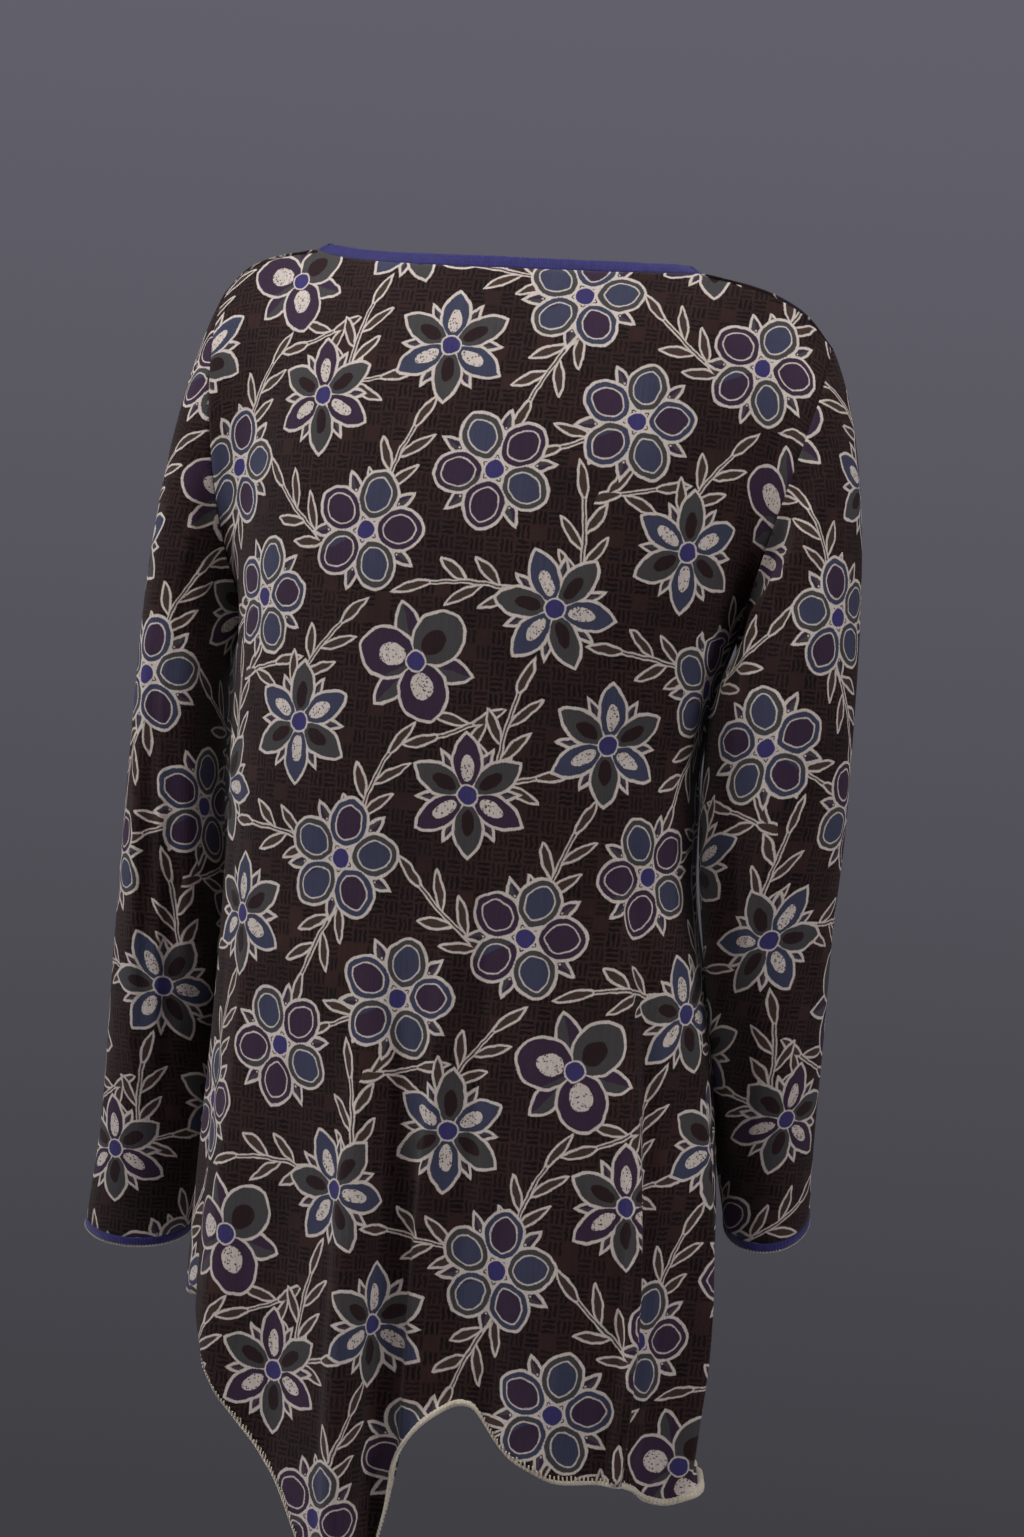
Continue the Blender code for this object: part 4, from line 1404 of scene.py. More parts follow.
        petals, middle, half_length = by_kind("petals"), by_kind("middle"), by_kind("half_length")
        half_width, ringed = by_kind("half_width"), by_kind("ringed")
        line, soft = self.outline, self.soft
        radius = (x * x + y * y).root()
        step = 2 * math.pi / petals
        angle = y.angle_from(x) + spin * (2 * math.pi)
        sector = (angle / step).nearest()
        turn = angle - sector * step
        px, py = radius * turn.cos(), abs(radius * turn.sin())
        petal = self.lens(px, py, middle, half_length, half_width)
        between = ((angle / step).floor() + 0.5) * step
        turn = angle - between
        tx, ty = radius * turn.cos(), abs(radius * turn.sin())
        tip_sizes = (by_kind(size) for size in ("tip_middle", "tip_half_length", "tip_half_width"))
        tip = self.lens(tx, ty, *tip_sizes)
        odd = abs(sector) % 2.0
        plum_share = (tint > 0.62) * 1.0
        first = t.mix(plum_share, self.slate, self.plum)
        fill = t.mix(odd, first, self.olive)
        colour = t.mix(tip.below(0.0, soft), under, t.mix(odd, self.olive, self.plum))
        colour = t.mix(tip.near(line, soft), colour, self.cream)
        colour = t.mix(petal.below(0.0, soft), colour, fill)
        inner = petal + self.ring_inset
        inner_fill = t.mix(odd, self.plum, self.slate)
        colour = t.mix(inner.below(0.0, soft) * ringed, colour, inner_fill)
        colour = t.mix(inner.near(line * 0.5, soft) * ringed, colour, self.cream)
        oval_x, oval_y = (px - middle * 0.82) / (half_length * 0.46), py / (half_width * 0.44)
        oval = (oval_x * oval_x + oval_y * oval_y).below(1.0, 0.06)
        inputs = {"Vector": t.vector(u, v), "Scale": self.dot_scale}
        dots = t.out("ShaderNodeTexVoronoi", {"feature": "F1"}, inputs)
        stipple = t.mix(dots.below(0.30, 0.10), self.cream, self.olive)
        spot = t.mix(odd, stipple, self.oval)
        colour = t.mix(oval * (1.0 - ringed), colour, spot)
        colour = t.mix(petal.near(line, soft), colour, self.cream)
        dash = (radius * self.vein_dashes) % 1.0
        rib = (turn * radius).near(self.vein_half, soft) * dash.below(0.62, 0.12)
        rib = rib * radius.below(self.vein_end, soft) * ringed
        colour = t.mix(rib, colour, self.cream)
        colour = t.mix(radius.below(self.centre_rim, soft), colour, self.cream)
        return t.mix(radius.below(self.centre, soft), colour, self.violet)

    def knit_shade(self, t: Tree, u: Value, v: Value, flat: Value, colour: Value) -> Value:
        """Darkens the gaps between the wales, fades the print unevenly and dulls the reverse.

        Args:
            t: The tree.
            u: The place across the cloth.
            v: The place up the cloth.
            flat: Both as one vector.
            colour: The print's colour.

        Returns:
            The colour.
        """
        wale = (u * (2 * math.pi / self.wale)).sin()
        streaks = t.noise(t.vector(u * 700.0, v * 26.0), 1.0, 2.0)
        shade = 0.93 + wale * 0.09 + (streaks - 0.5) * 0.42
        shade = shade + (t.noise(flat, 30.0) - 0.5) * 0.22
        grey = t.vector(shade, shade, shade)
        multiply = {"data_type": "RGBA", "blend_type": "MULTIPLY"}
        shaded = t.out("ShaderNodeMix", multiply, {"Factor": 1.0, 6: colour, 7: grey}, 2)
        return t.mix(self.strength, self.dark, shaded)

    def knit_bump(self, t: Tree, u: Value, v: Value) -> Value:
        """The relief of the stitches: wales that lean left and right in turn along each course.

        Args:
            t: The tree.
            u: The place across the cloth.
            v: The place up the cloth.

        Returns:
            The normal.
        """
        lean = ((v * (1 / self.course)) % 1.0 - 0.5) * 0.9
        wale = (u * (2 * math.pi / self.wale) + lean).sin()
        course = (v * (2 * math.pi / self.course)).sin()
        relief = wale + course * 0.45
        return t.out("ShaderNodeBump", {}, {"Strength": 0.35, "Distance": 0.0004, "Height": relief})


SPRIG_GRIDS = (
    SprigGrid(0.0707, 71.565, (0.0, 0.0), 3, 7.0, -0.024, 1.0, 45, 14.0, 0.45),
    SprigGrid(0.100, 26.565, (0.5, 0.5), 3, 9.0, -0.036, 2.0, 45, 9.0, 1.0),
)


@dataclass(frozen=True)
class VioletRib(Finish):
    """The fine rib of the bindings. Its map runs along the binding, in metres."""

    name: str = "violet_rib_knit"
    colour: tuple = tone(54, 50, 116)
    shaded: tuple = tone(24, 22, 62)
    rib: float = 0.0011
    course: float = 0.0016
    map_name: str = "ClothMap"

    def sockets(self, t: Tree) -> dict[str, object]:
        """The shader's sockets and what feeds them.

        Args:
            t: The tree.

        Returns:
            The sockets by name, each with its value or link.
        """
        flat = t.out("ShaderNodeUVMap", {"uv_map": self.map_name}, {})
        u, v, _ = t.parts(flat)
        rib = (u * (2 * math.pi / self.rib)).sin()
        course = (v * (2 * math.pi / self.course)).sin()
        patches = t.noise(flat, 220.0)
        share = rib * 0.26 + course * 0.04 + patches * 0.8 + 0.12
        colour = t.mix(share.most(0.0).least(1.0), self.shaded, self.colour)
        bump = {"Strength": 0.6, "Distance": 0.0004, "Height": rib + course * 0.2}
        return {
            "Base Color": colour,
            "Roughness": 0.78 + patches * 0.12,
            "Normal": t.out("ShaderNodeBump", {}, bump),
            "Specular IOR Level": 0.25,
            "Sheen Weight": 0.2,
            "Sheen Roughness": 0.4,
        }


@dataclass(frozen=True)
class OverlockThread(Finish):
    """The cream woolly thread of the hem and the cuffs."""

    name: str = "cream_overlock_thread"
    light: tuple = tone(214, 202, 180)
    dark: tuple = tone(158, 146, 124)
    ply: float = 0.0007

    def sockets(self, t: Tree) -> dict[str, object]:
        """The shader's sockets and what feeds them.

        Args:
            t: The tree.

        Returns:
            The sockets by name, each with its value or link.
        """
        place = t.out("ShaderNodeTexCoord", {}, {}, "Object")
        x, y, z = t.parts(place)
        twist = ((x + y + z * 1.6) * (2 * math.pi / self.ply)).sin()
        share = t.noise(place, 700.0) * 0.8 + twist * 0.16 + 0.2
        bump = {"Strength": 0.5, "Distance": 0.0003, "Height": twist}
        return {
            "Base Color": t.mix(share.most(0.0).least(1.0), self.dark, self.light),
            "Roughness": 0.74 + t.noise(place, 400.0) * 0.16,
            "Normal": t.out("ShaderNodeBump", {}, bump),
            "Sheen Weight": 0.3,
        }


@dataclass(frozen=True)
class StudioPaper(Finish):
    """The matt pale paper of the floor."""

    name: str = "pale_floor"
    colour: tuple = tone(196, 195, 200)

    def sockets(self, t: Tree) -> dict[str, object]:
        """The shader's sockets and what feeds them.

        Args:
            t: The tree.

        Returns:
            The sockets by name, each with its value or link.
        """
        place = t.out("ShaderNodeTexCoord", {}, {}, "Object")
        grain = t.noise(place, 40.0) * 0.06 + 0.97
        grey = t.vector(grain, grain, grain)
        multiply = {"data_type": "RGBA", "blend_type": "MULTIPLY"}
        paper = t.out("ShaderNodeMix", multiply, {"Factor": 1.0, 6: self.colour, 7: grey}, 2)
        return {"Base Color": paper, "Roughness": 0.9}


@dataclass
class Finishes:
    """Every finish of the garment, built once."""

    face: bpy.types.Material
    reverse: bpy.types.Material
    rib: bpy.types.Material
    thread: bpy.types.Material

    @classmethod
    def build(cls) -> "Finishes":
        """Builds them all.

        Returns:
            The set of finishes.
        """
        return cls(
            KnitPrint("printed_knit").build(),
            KnitPrint("printed_knit_reverse", strength=0.45).build(),
            VioletRib().build(),
            OverlockThread().build(),
        )


@dataclass
class Surface:
    """Faces of one piece, gathered before its mesh is made."""

    points: list
    faces: list
    corners: list
    slots: list

    @classmethod
    def empty(cls) -> "Surface":
        """A surface with nothing in it."""
        return cls([], [], [], [])

    def add_points(self, points: Points) -> int:
        """Adds points and returns the number of the first one.

        Args:
            points: The points, in any grid.

        Returns:
            The first one's number.
        """
        first = len(self.points)
        self.points.extend(map(tuple, points.reshape(-1, 3)))
        return first

    def add_face(self, face: tuple, corners: Sequence, slot: int, flip: bool = False) -> None:
        """Adds one face with its places on the map, turned over where flip is set.

        Args:
            face: Its points' numbers.
            corners: Its places on the map.
            slot: Its material's number.
            flip: Whether to turn it over.
        """
        self.faces.append(face[::-1] if flip else face)
        self.corners.extend(corners[::-1] if flip else corners)
        self.slots.append(slot)

    def make(self, name: str, materials: Sequence[bpy.types.Material]) -> bpy.types.Object:
        """Makes the piece.

        Args:
            name: The piece's name.
            materials: Its materials, by slot.

        Returns:
            The object, at the origin.
        """
        mesh = bpy.data.meshes.new(name)
        mesh.from_pydata(self.points, [], self.faces)
        for material in materials:
            mesh.materials.append(material)
        mesh.polygons.foreach_set("material_index", self.slots)
        layer = mesh.uv_layers.new(name="ClothMap")
        layer.data.foreach_set("uv", np.array(self.corners, float).ravel())
        mesh.polygons.foreach_set("use_smooth", [True] * len(self.faces))
        mesh.validate()
        return put(name, mesh)


def volume_sign(points: list, faces: list) -> float:
    """1 where a closed surface's faces look outwards, and -1 where they look inwards.

    Args:
        points: The surface's points.
        faces: Its four-sided faces.

    Returns:
        1.0 or -1.0.
    """
    places = np.array(points)
    quads = np.array(faces)
    a, b, c, d = (places[quads[:, k]] for k in range(4))
    total = (a * np.cross(b, c)).sum() + (a * np.cross(c, d)).sum()
    return 1.0 if total > 0 else -1.0


def wall_surface(outer: Points, inner: Points, flat: Points, girth: Optional[Points]) -> Surface:
    """A closed shell between two grids.

    Args:
        outer: The outside, by column and row.
        inner: The inside.
        flat: Each point's place on the map.
        girth: The girth of each row of a tube, or None for an open panel.

    Returns:
        The shell, whose inside and rims have the second slot.
    """
    columns, rows = outer.shape[:2]
    surface = Surface.empty()
    surface.add_points(outer)
    shift = surface.add_points(inner)
    closed = girth is not None
    spans = columns if closed else columns - 1
    map_columns = flat
    if closed:
        last = flat[:1] + np.stack([girth, np.zeros(rows)], axis=1)
        map_columns = np.concatenate([flat, last])

    def at(i: int, j: int, layer: int) -> int:
        """The number of a point."""
        return (i % columns) * rows + j + layer * shift

    def place(i: int, j: int) -> tuple:
        """Its place on the map."""
        return tuple(map_columns[i, j])

    for i in range(spans):
        for j in range(rows - 1):
            corners = (place(i, j), place(i, j + 1), place(i + 1, j + 1), place(i + 1, j))
            face = (at(i, j, 0), at(i, j + 1, 0), at(i + 1, j + 1, 0), at(i + 1, j, 0))
            surface.add_face(face, corners, 0)
            face = (at(i, j, 1), at(i + 1, j, 1), at(i + 1, j + 1, 1), at(i, j + 1, 1))
            surface.add_face(face, (corners[0], corners[3], corners[2], corners[1]), 1)
        for j, flip in ((0, False), (rows - 1, True)):
            face = (at(i, j, 0), at(i + 1, j, 0), at(i + 1, j, 1), at(i, j, 1))
            corners = [place(i, j), place(i + 1, j), place(i + 1, j), place(i, j)]
            surface.add_face(face, corners, 1, flip)
    if not closed:
        for i, flip in ((0, False), (columns - 1, True)):
            for j in range(rows - 1):
                face = (at(i, j, 0), at(i, j, 1), at(i, j + 1, 1), at(i, j + 1, 0))
                corners = [place(i, j), place(i, j), place(i, j + 1), place(i, j + 1)]
                surface.add_face(face, corners, 1, flip)
    return turned_out(surface)


def turned_out(surface: Surface) -> Surface:
    """The surface with its faces looking outwards.

    Args:
        surface: A closed surface, changed in place.

    Returns:
        The same surface.
    """
    if volume_sign(surface.points, surface.faces) < 0:
        surface.faces = [face[::-1] for face in surface.faces]
        corners = surface.corners
        surface.corners = [corners[4 * k + 3 - n] for k in range(len(surface.faces)) for n in range(4)]
    return surface


@dataclass
class Strip:
    """A narrow form swept along an edge: its middle line, and the ways along and out of the cloth."""

    middle: Points
    across: Points
    outward: Points
    closed: bool = False

    def sweep(self, width: Points, thickness: Points, corner: float, steps: int) -> Surface:
        """Sweeps a rounded section along the line.

        Args:
            width: The section's size along the cloth, at each point.
            thickness: Its size out of the cloth, at each point.
            corner: How round it is: 2 is an ellipse, and more is squarer.
            steps: The number of its sides.

        Returns:
            The closed surface.
        """
        turns = 2 * np.pi * np.arange(steps) / steps
        c, s = np.cos(turns), np.sin(turns)
        wide = np.sign(c) * np.abs(c) ** (2 / corner) / 2
        deep = np.sign(s) * np.abs(s) ** (2 / corner) / 2
        rings = (
            self.middle[:, None]
            + self.across[:, None] * (wide * width[:, None])[..., None]
            + self.outward[:, None] * (deep * thickness[:, None])[..., None]
        )
        run = run_along(self.middle)
        surface = Surface.empty()
        surface.add_points(rings)
        count = len(rings)
        spans = count if self.closed else count - 1
        last_step = np.linalg.norm(self.middle[0] - self.middle[-1])
        girth = 2 * float(np.mean(width))
        for i in range(spans):
            u0, u1 = run[i], run[i + 1] if i + 1 < count else run[-1] + last_step
            for k in range(steps):
                v0, v1 = girth * k / steps, girth * (k + 1) / steps
                here, there = i * steps, ((i + 1) % count) * steps
                face = (here + k, there + k, there + (k + 1) % steps, here + (k + 1) % steps)
                surface.add_face(face, ((u0, v0), (u1, v0), (u1, v1), (u0, v1)), 0)
        if not self.closed:
            for i, flip in ((0, False), (count - 1, True)):
                ring = [i * steps + k for k in range(steps)]
                for k in range(1, steps // 2):
                    face = (ring[k - 1], ring[k], ring[steps - 1 - k], ring[-k])
                    surface.add_face(face, ((run[i], 0.0),) * 4, 0, flip)
        return turned_out(surface)


def resample(points: Points, step: float, closed: bool = False) -> Points:
    """Where to read a line so that its points lie one step apart, as places between its own points.

    Args:
        points: The line.
        step: The distance wanted.
        closed: Whether it is a loop.

    Returns:
        Places, where 1.5 is half way from the second point to the third.
    """
    loop = np.concatenate([points, points[:1]]) if closed else points
    run = run_along(loop)
    count = max(2, int(round(run[-1] / step)))
    wanted = np.linspace(0, run[-1], count + 1)
    if closed:
        wanted = wanted[:-1]
    return np.interp(wanted, run, np.arange(len(loop)))


def read_at(values: Points, places: Points, closed: bool = False) -> Points:
    """Values of a line at places between its points.

    Args:
        values: A value for each point.
        places: Where to read.
        closed: Whether it is a loop.

    Returns:
        The value at each place.
    """
    loop = np.concatenate([values, values[:1]]) if closed else values
    low = np.minimum(np.floor(places).astype(int), len(loop) - 2)
    share = (places - low).reshape((-1,) + (1,) * (loop.ndim - 1))
    return loop[low] * (1 - share) + loop[low + 1] * share


class OverlockTree:
    """The node tree that lays one thread loop over the edge at every point of a mesh."""

    def __init__(self, thread: bpy.types.Material) -> None:
        """Builds the tree with its named inputs.

        Args:
            thread: The material of the stitches.
        """
        self.group = bpy.data.node_groups.new("overlock_stitches", "GeometryNodeTree")
        face = self.group.interface
        face.new_socket("Geometry", in_out="INPUT", socket_type="NodeSocketGeometry")
        self.sizes = {}
        for name, value in (("Thread radius", 0.0005), ("Edge reach", 0.0018), ("Half wall", 0.0010)):
            socket = face.new_socket(name, in_out="INPUT", socket_type="NodeSocketFloat")
            socket.default_value = value
            self.sizes[name] = socket.identifier
        face.new_socket("Geometry", in_out="OUTPUT", socket_type="NodeSocketGeometry")
        t = Tree(self.group)
        source = t.node("NodeGroupInput", {}, {})
        radius, reach, half = (Value(t, source.outputs[name]) for name in self.sizes)
        loop = self.loop(t, radius, reach, half)
        rotation = t.out(
            "FunctionNodeAxesToRotation",
            {"primary_axis": "Z", "secondary_axis": "X"},
            {0: self.named(t, "outward", "FLOAT_VECTOR"), 1: self.named(t, "along", "FLOAT_VECTOR")},
        )
        inputs = {
            "Points": Value(t, source.outputs["Geometry"]),
            "Instance": loop,
            "Rotation": rotation,
            "Scale": t.vector(1.0, self.named(t, "tooth", "FLOAT"), 1.0),
        }
        placed = t.out("GeometryNodeInstanceOnPoints", {}, inputs)
        real = t.out("GeometryNodeRealizeInstances", {}, {0: placed})
        dressed = t.out("GeometryNodeSetMaterial", {}, {"Geometry": real, "Material": thread})
        sink = t.node("NodeGroupOutput", {}, {})
        t.feed(sink.inputs[0], dressed)

    def named(self, t: Tree, name: str, kind: str) -> Value:
        """An attribute of the points."""
        return t.out("GeometryNodeInputNamedAttribute", {"data_type": kind}, {"Name": name})

    def loop(self, t: Tree, radius: Value, reach: Value, half: Value) -> Value:
        """The thread of one stitch, round the edge from outside to inside. Its tooth is 1 long.

        Args:
            t: The tree.
            radius: The thread's radius.
            reach: How far it stands past the edge.
            half: Half the wall.

        Returns:
            The loop's mesh.
        """
        curve = t.node(
            "GeometryNodeCurvePrimitiveBezierSegment",
            {"mode": "POSITION"},
            {
                "Resolution": 7,
                "Start": t.vector(-0.0004, 1.0, half + radius * 0.4),
                "Start Handle": t.vector(0.0, -0.55, half + radius * 2.0 + reach * 0.9),
                "End Handle": t.vector(0.0, -0.55, -half - radius * 2.0 - reach * 0.9),
                "End": t.vector(0.0006, 0.7, -half - radius * 0.4),
            },
        )
        circle = {"Resolution": 6, "Radius": radius}
        section = t.out("GeometryNodeCurvePrimitiveCircle", {"mode": "RADIUS"}, circle)
        inputs = {"Curve": Value(t, curve.outputs[0]), "Profile Curve": section, "Fill Caps": True}
        return t.out("GeometryNodeCurveToMesh", {}, inputs)

    def stitch(self, name: str, strip: Strip, teeth: Points, sizes: tuple) -> bpy.types.Object:
        """Sews one edge.

        Args:
            name: The piece's name.
            strip: The edge's line, with across looking up the cloth.
            teeth: The length of each stitch.
            sizes: The thread's radius, the reach past the edge and half the wall.

        Returns:
            The stitches as a plain mesh.
        """
        mesh = bpy.data.meshes.new(name)
        mesh.from_pydata([tuple(p) for p in strip.middle], [], [])
        along = np.cross(strip.across, strip.outward)
        for word, values in (("outward", strip.outward), ("along", along)):
            layer = mesh.attributes.new(word, "FLOAT_VECTOR", "POINT")
            layer.data.foreach_set("vector", values.astype(np.float32).ravel())
        mesh.attributes.new("tooth", "FLOAT", "POINT").data.foreach_set("value", teeth.astype(np.float32))
        source = put(name + "_points", mesh)
        modifier = source.modifiers.new("sewing", "NODES")
        modifier.node_group = self.group
        for socket, value in zip(self.sizes.values(), sizes):
            modifier[socket] = value
        bpy.context.view_layer.update()
        sewn = source.evaluated_get(bpy.context.evaluated_depsgraph_get())
        result = bpy.data.meshes.new_from_object(sewn)
        result.name = name
        source.modifiers.clear()
        bpy.data.objects.remove(source)
        for polygon in result.polygons:
            polygon.use_smooth = True
        return put(name, result)


def seat(piece: bpy.types.Object, slot: str, *nodes: str) -> bpy.types.Object:
    """Lets a piece ride on the garment, in place of the named solids.

    Args:
        piece: The piece.
        slot: Its material slot. Not used.
        nodes: The solids that it stands for.

    Returns:
        The same piece.
    """
    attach(piece, BODY)
    if nodes:
        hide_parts(*nodes)
    log.info("%s: %d faces", piece.name, len(piece.data.polygons))
    return piece


class Cloth:
    """The five knitted panels, as fine grids with their folds."""

    def __init__(self) -> None:
        """Works out the solids' grids and refines them."""
        self.form = BodyForm()
        back, back_angles = self.form.back_grid()
        fronts = {side: self.form.front_grid(side) for side in Side}
        self.arcs = self.arc_table()
        self.panels = {"back": self.body_patch(back, back_angles, BACK_CENTRE, -1.0, 0.0)}
        for side in Side:
            grid, angles = fronts[side]
            centre = FRONT_CENTRES[side]
            front = self.body_patch(grid, angles, centre, side.value, FRONT_PRINT_SHIFT)
            self.panels["front_" + side.word] = front
            sleeve = SleeveForm(side, back, grid)
            self.panels["sleeve_" + side.word] = self.sleeve_patch(sleeve)
        self.share_side_seams()
        self.fold_all()

    def arc_table(self) -> tuple[Points, Points, Points]:
        """The distance round the folded body from its centre back, by height and angle.

        Returns:
            The heights, the angles, and the distance for each pair of them.
        """
        heights = np.linspace(UNDERARM_Z, ARC_FOOT_Z, ARC_LEVELS)
        angles = np.linspace(*ARC_ANGLES)
        runs = []
        for z in heights:
            run = run_along(np.array([self.form.body_point(z, angle) for angle in angles]))
            runs.append(run - np.interp(BACK_CENTRE, angles, run))
        return heights, angles, np.array(runs)

    def arc(self, heights: Points, angles: Points, centre: float) -> Points:
        """The distance round the body from a centre line, at each point.

        Args:
            heights: Each point's height.
            angles: Its angle round the body.
            centre: The centre line's angle.

        Returns:
            The distances, with their sign.
        """
        levels, steps, runs = self.arcs
        drop = levels[0] - np.clip(heights, levels[-1], levels[0])
        level = drop / (levels[0] - levels[-1]) * (len(levels) - 1)
        low = np.minimum(level.astype(int), len(levels) - 2)
        share = level - low
        by_level = [np.interp(angles, steps, run) - np.interp(centre, steps, run) for run in runs]
        stack = np.array(by_level)
        i, j = np.indices(angles.shape)
        return stack[low, i, j] * (1 - share) + stack[low + 1, i, j] * share

    def body_patch(
        self, grid: Points, angles: Points, centre: float, outward: float, lift: float
    ) -> Patch:
        """Refines a body panel and lays the map on it.

        Args:
            grid: The solid's grid.
            angles: The angle of each of its points.
            centre: The angle of the panel's centre line, along which its grain runs.
            outward: The sign that turns its normals out.
            lift: A shift of the print.

        Returns:
            The fine patch.
        """
        points = finer(grid, COLUMN_SPLIT, ROW_SPLIT, False)
        places = finer(angles, COLUMN_SPLIT, ROW_SPLIT, False)
        yoke = YOKE_ROWS * ROW_SPLIT
        flat = np.zeros(points.shape[:2] + (2,))
        flat[:, yoke:, 0] = self.arc(points[:, yoke:, 2], places[:, yoke:], centre)
        flat[:, yoke:, 1] = points[:, yoke:, 2]
        at_underarm = flat[:, yoke, 0]
        for j in range(yoke):
            run = run_along(points[:, j])
            if centre == BACK_CENTRE:
                flat[:, j, 0] = run - run[len(run) // 2]
            else:
                sign = 1.0 if at_underarm[-1] > at_underarm[0] else -1.0
                flat[:, j, 0] = at_underarm[-1] + sign * (run - run[-1])
        for j in range(yoke - 1, -1, -1):
            rise = np.linalg.norm(points[:, j] - points[:, j + 1], axis=1)
            flat[:, j, 1] = flat[:, j + 1, 1] + rise
        flat[..., 1] += lift
        return Patch(points, grid_normals(points, False, outward), flat, places)

    def sleeve_patch(self, sleeve: SleeveForm) -> Patch:
        """Refines a sleeve and lays the map on it, open along the underarm.

        Args:
            sleeve: The sleeve's form.

        Returns:
            The patch.
        """
        points = finer(sleeve.grid(), RING_SPLIT, SLEEVE_ROW_SPLIT, True)
        count, rows = points.shape[:2]
        turns = np.repeat((360 * np.arange(count) / count)[:, None], rows, axis=1)
        points, turns = (np.roll(values, count // 2, axis=0) for values in (points, turns))
        cap = CAP_ROWS * SLEEVE_ROW_SPLIT
        flat = np.zeros((count, rows, 2))
        for j in range(cap, rows):
            flat[:, j, 0] = run_along(points[:, j])
        flat[:, :cap, 0] = flat[:, cap : cap + 1, 0]
        steps = np.linalg.norm(np.diff(points, axis=1), axis=2)
        down = np.concatenate([np.zeros((count, 1)), np.cumsum(steps, axis=1)], axis=1)
        flat[..., 1] = down[:, cap : cap + 1] - down - SLEEVE_PRINT_SHIFT * sleeve.side.value
        return Patch(points, grid_normals(points, True, -sleeve.side.value), flat, turns, True)

    def share_side_seams(self) -> None:
        """Gives the two edges of a side seam the same normals, so that they stay together."""
        rows = slice(YOKE_ROWS * ROW_SPLIT, None)
        for side, edge in ((Side.LEFT, 0), (Side.RIGHT, -1)):
            one = self.panels["back"].normals[edge, rows]
            other = self.panels["front_" + side.word].normals[0, rows]
            both = unit(one + other)
            one[:], other[:] = both, both

    def fold_all(self) -> None:
        """Presses the fine folds and the seams into every panel."""
        for name, patch in self.panels.items():
            z = patch.points[..., 2]
            if name.startswith("sleeve"):
                side = Side.LEFT if name.endswith("left") else Side.RIGHT
                heights = crumple_heights(SLEEVE_CRUMPLES[side], patch.places, z)
                rows = np.arange(z.shape[1])
                fade_rows = CREASE_FADE_ROWS * SLEEVE_ROW_SPLIT
                heights *= np.minimum(1.0, np.minimum(rows, rows[::-1]) / fade_rows)
            else:
                heights = crumple_heights(BODY_CRUMPLES, patch.places, z)
                heights *= np.clip((-z - CRUMPLE_START) / CRUMPLE_GROWTH, 0.0, 1.0)
                if name == "back":
                    heights += crumple_heights(PRESS_LINES, patch.places, z)
            heights -= SEAM_SINK * self.seam_share(name, patch)
            patch.push(heights)
            outward = 1.0 if name in ("front_left", "sleeve_right") else -1.0
            before = patch.normals.copy()
            patch.renew_normals(outward)
            if not name.startswith("sleeve"):
                patch.normals[0], patch.normals[-1] = before[0], before[-1]
        self.curl_hem()

    def seam_share(self, name: str, patch: Patch) -> Points:
        """1 at a sewn edge, fading to 0 away from it.

        Args:
            name: The panel's name.
            patch: Its patch.

        Returns:
            The share at each point.
        """
        points = patch.points
        share = np.zeros(points.shape[:2])
        edges = [points[:, :1]]
        if not patch.closed:
            edges.append(points[:1])
            if name == "back":
                edges.append(points[-1:])
        for edge in edges:
            away = np.linalg.norm(points - edge, axis=-1)
            share = np.maximum(share, np.exp(-((away / SEAM_REACH) ** 2)))
        return share

    def curl_hem(self) -> None:
        """Rolls the lowest cloth where the hem curls: outwards, or inwards below nothing."""
        for name in ("back", "front_left", "front_right"):
            patch = self.panels[name]
            start = patch.points.copy()
            run = np.linalg.norm(np.diff(start, axis=1), axis=2)
            below = np.cumsum(run[:, ::-1], axis=1)[:, ::-1]
            below = np.concatenate([below, np.zeros((len(below), 1))], axis=1)
            for i in range(len(start)):
                curl = smooth_table(HEM_STYLES, patch.places[i, -1]).curl
                if abs(curl) < MM:
                    continue
                rows = np.nonzero(below[i] < abs(curl))[0]
                first = rows[0] - 1
                base, outward = start[i, first], patch.normals[i, first] * math.copysign(1.0, curl)
                down = unit(start[i, first] - start[i, first - 1])
                phi = (below[i, first] - below[i, rows]) / CURL_RADIUS
                phi = np.minimum(phi, math.radians(CURL_LIMIT))[:, None]
                way = np.sin(phi) * down + (1 - np.cos(phi)) * outward
                patch.points[i, rows] = base + CURL_RADIUS * way
                turned = unit(outward * np.cos(phi) - down * np.sin(phi))
                patch.normals[i, rows] = turned * math.copysign(1.0, curl)

    def dress(self, finishes: Finishes) -> dict[str, bpy.types.Object]:
        """Makes the panels' pieces.

        Args:
            finishes: The garment's finishes.

        Returns:
            The pieces, by the name of the solid that each stands for.
        """
        pieces = {}
        for name, patch in self.panels.items():
            inner = patch.points - patch.normals * SHEET_THICKNESS
            surface = wall_surface(patch.points, inner, patch.flat, self.girths(patch))
            piece = surface.make(name + "_cloth", (finishes.face, finishes.reverse))
            pieces[name] = seat(piece, KNIT_SLOT, name)
        return pieces

    def girths(self, patch: Patch) -> Optional[Points]:
        """The girth of each row of a sleeve on the map, the same all up the cap.

        Args:
            patch: The patch.

        Returns:
            The girths, or None for a panel of the body.
        """
        if not patch.closed:
            return None
        loop = np.concatenate([patch.points, patch.points[:1]])
        girth = np.array([run_along(loop[:, j])[-1] for j in range(loop.shape[1])])
        cap = CAP_ROWS * SLEEVE_ROW_SPLIT
        girth[:cap] = girth[cap]
        return girth

    def declare(self) -> None:
        """States the flat size of every panel.
        """
        for name, patch in self.panels.items():
            low, high = patch.flat.min(axis=(0, 1)), patch.flat.max(axis=(0, 1))
            width, length = high - low
            if patch.closed:
                width = float(self.girths(patch).max())
            area = min(patch.cloth_area(), float(width * length))
            log.info("%s: cut %.0f x %.0f mm, %.3f square metres", name, width / MM, length / MM, area)


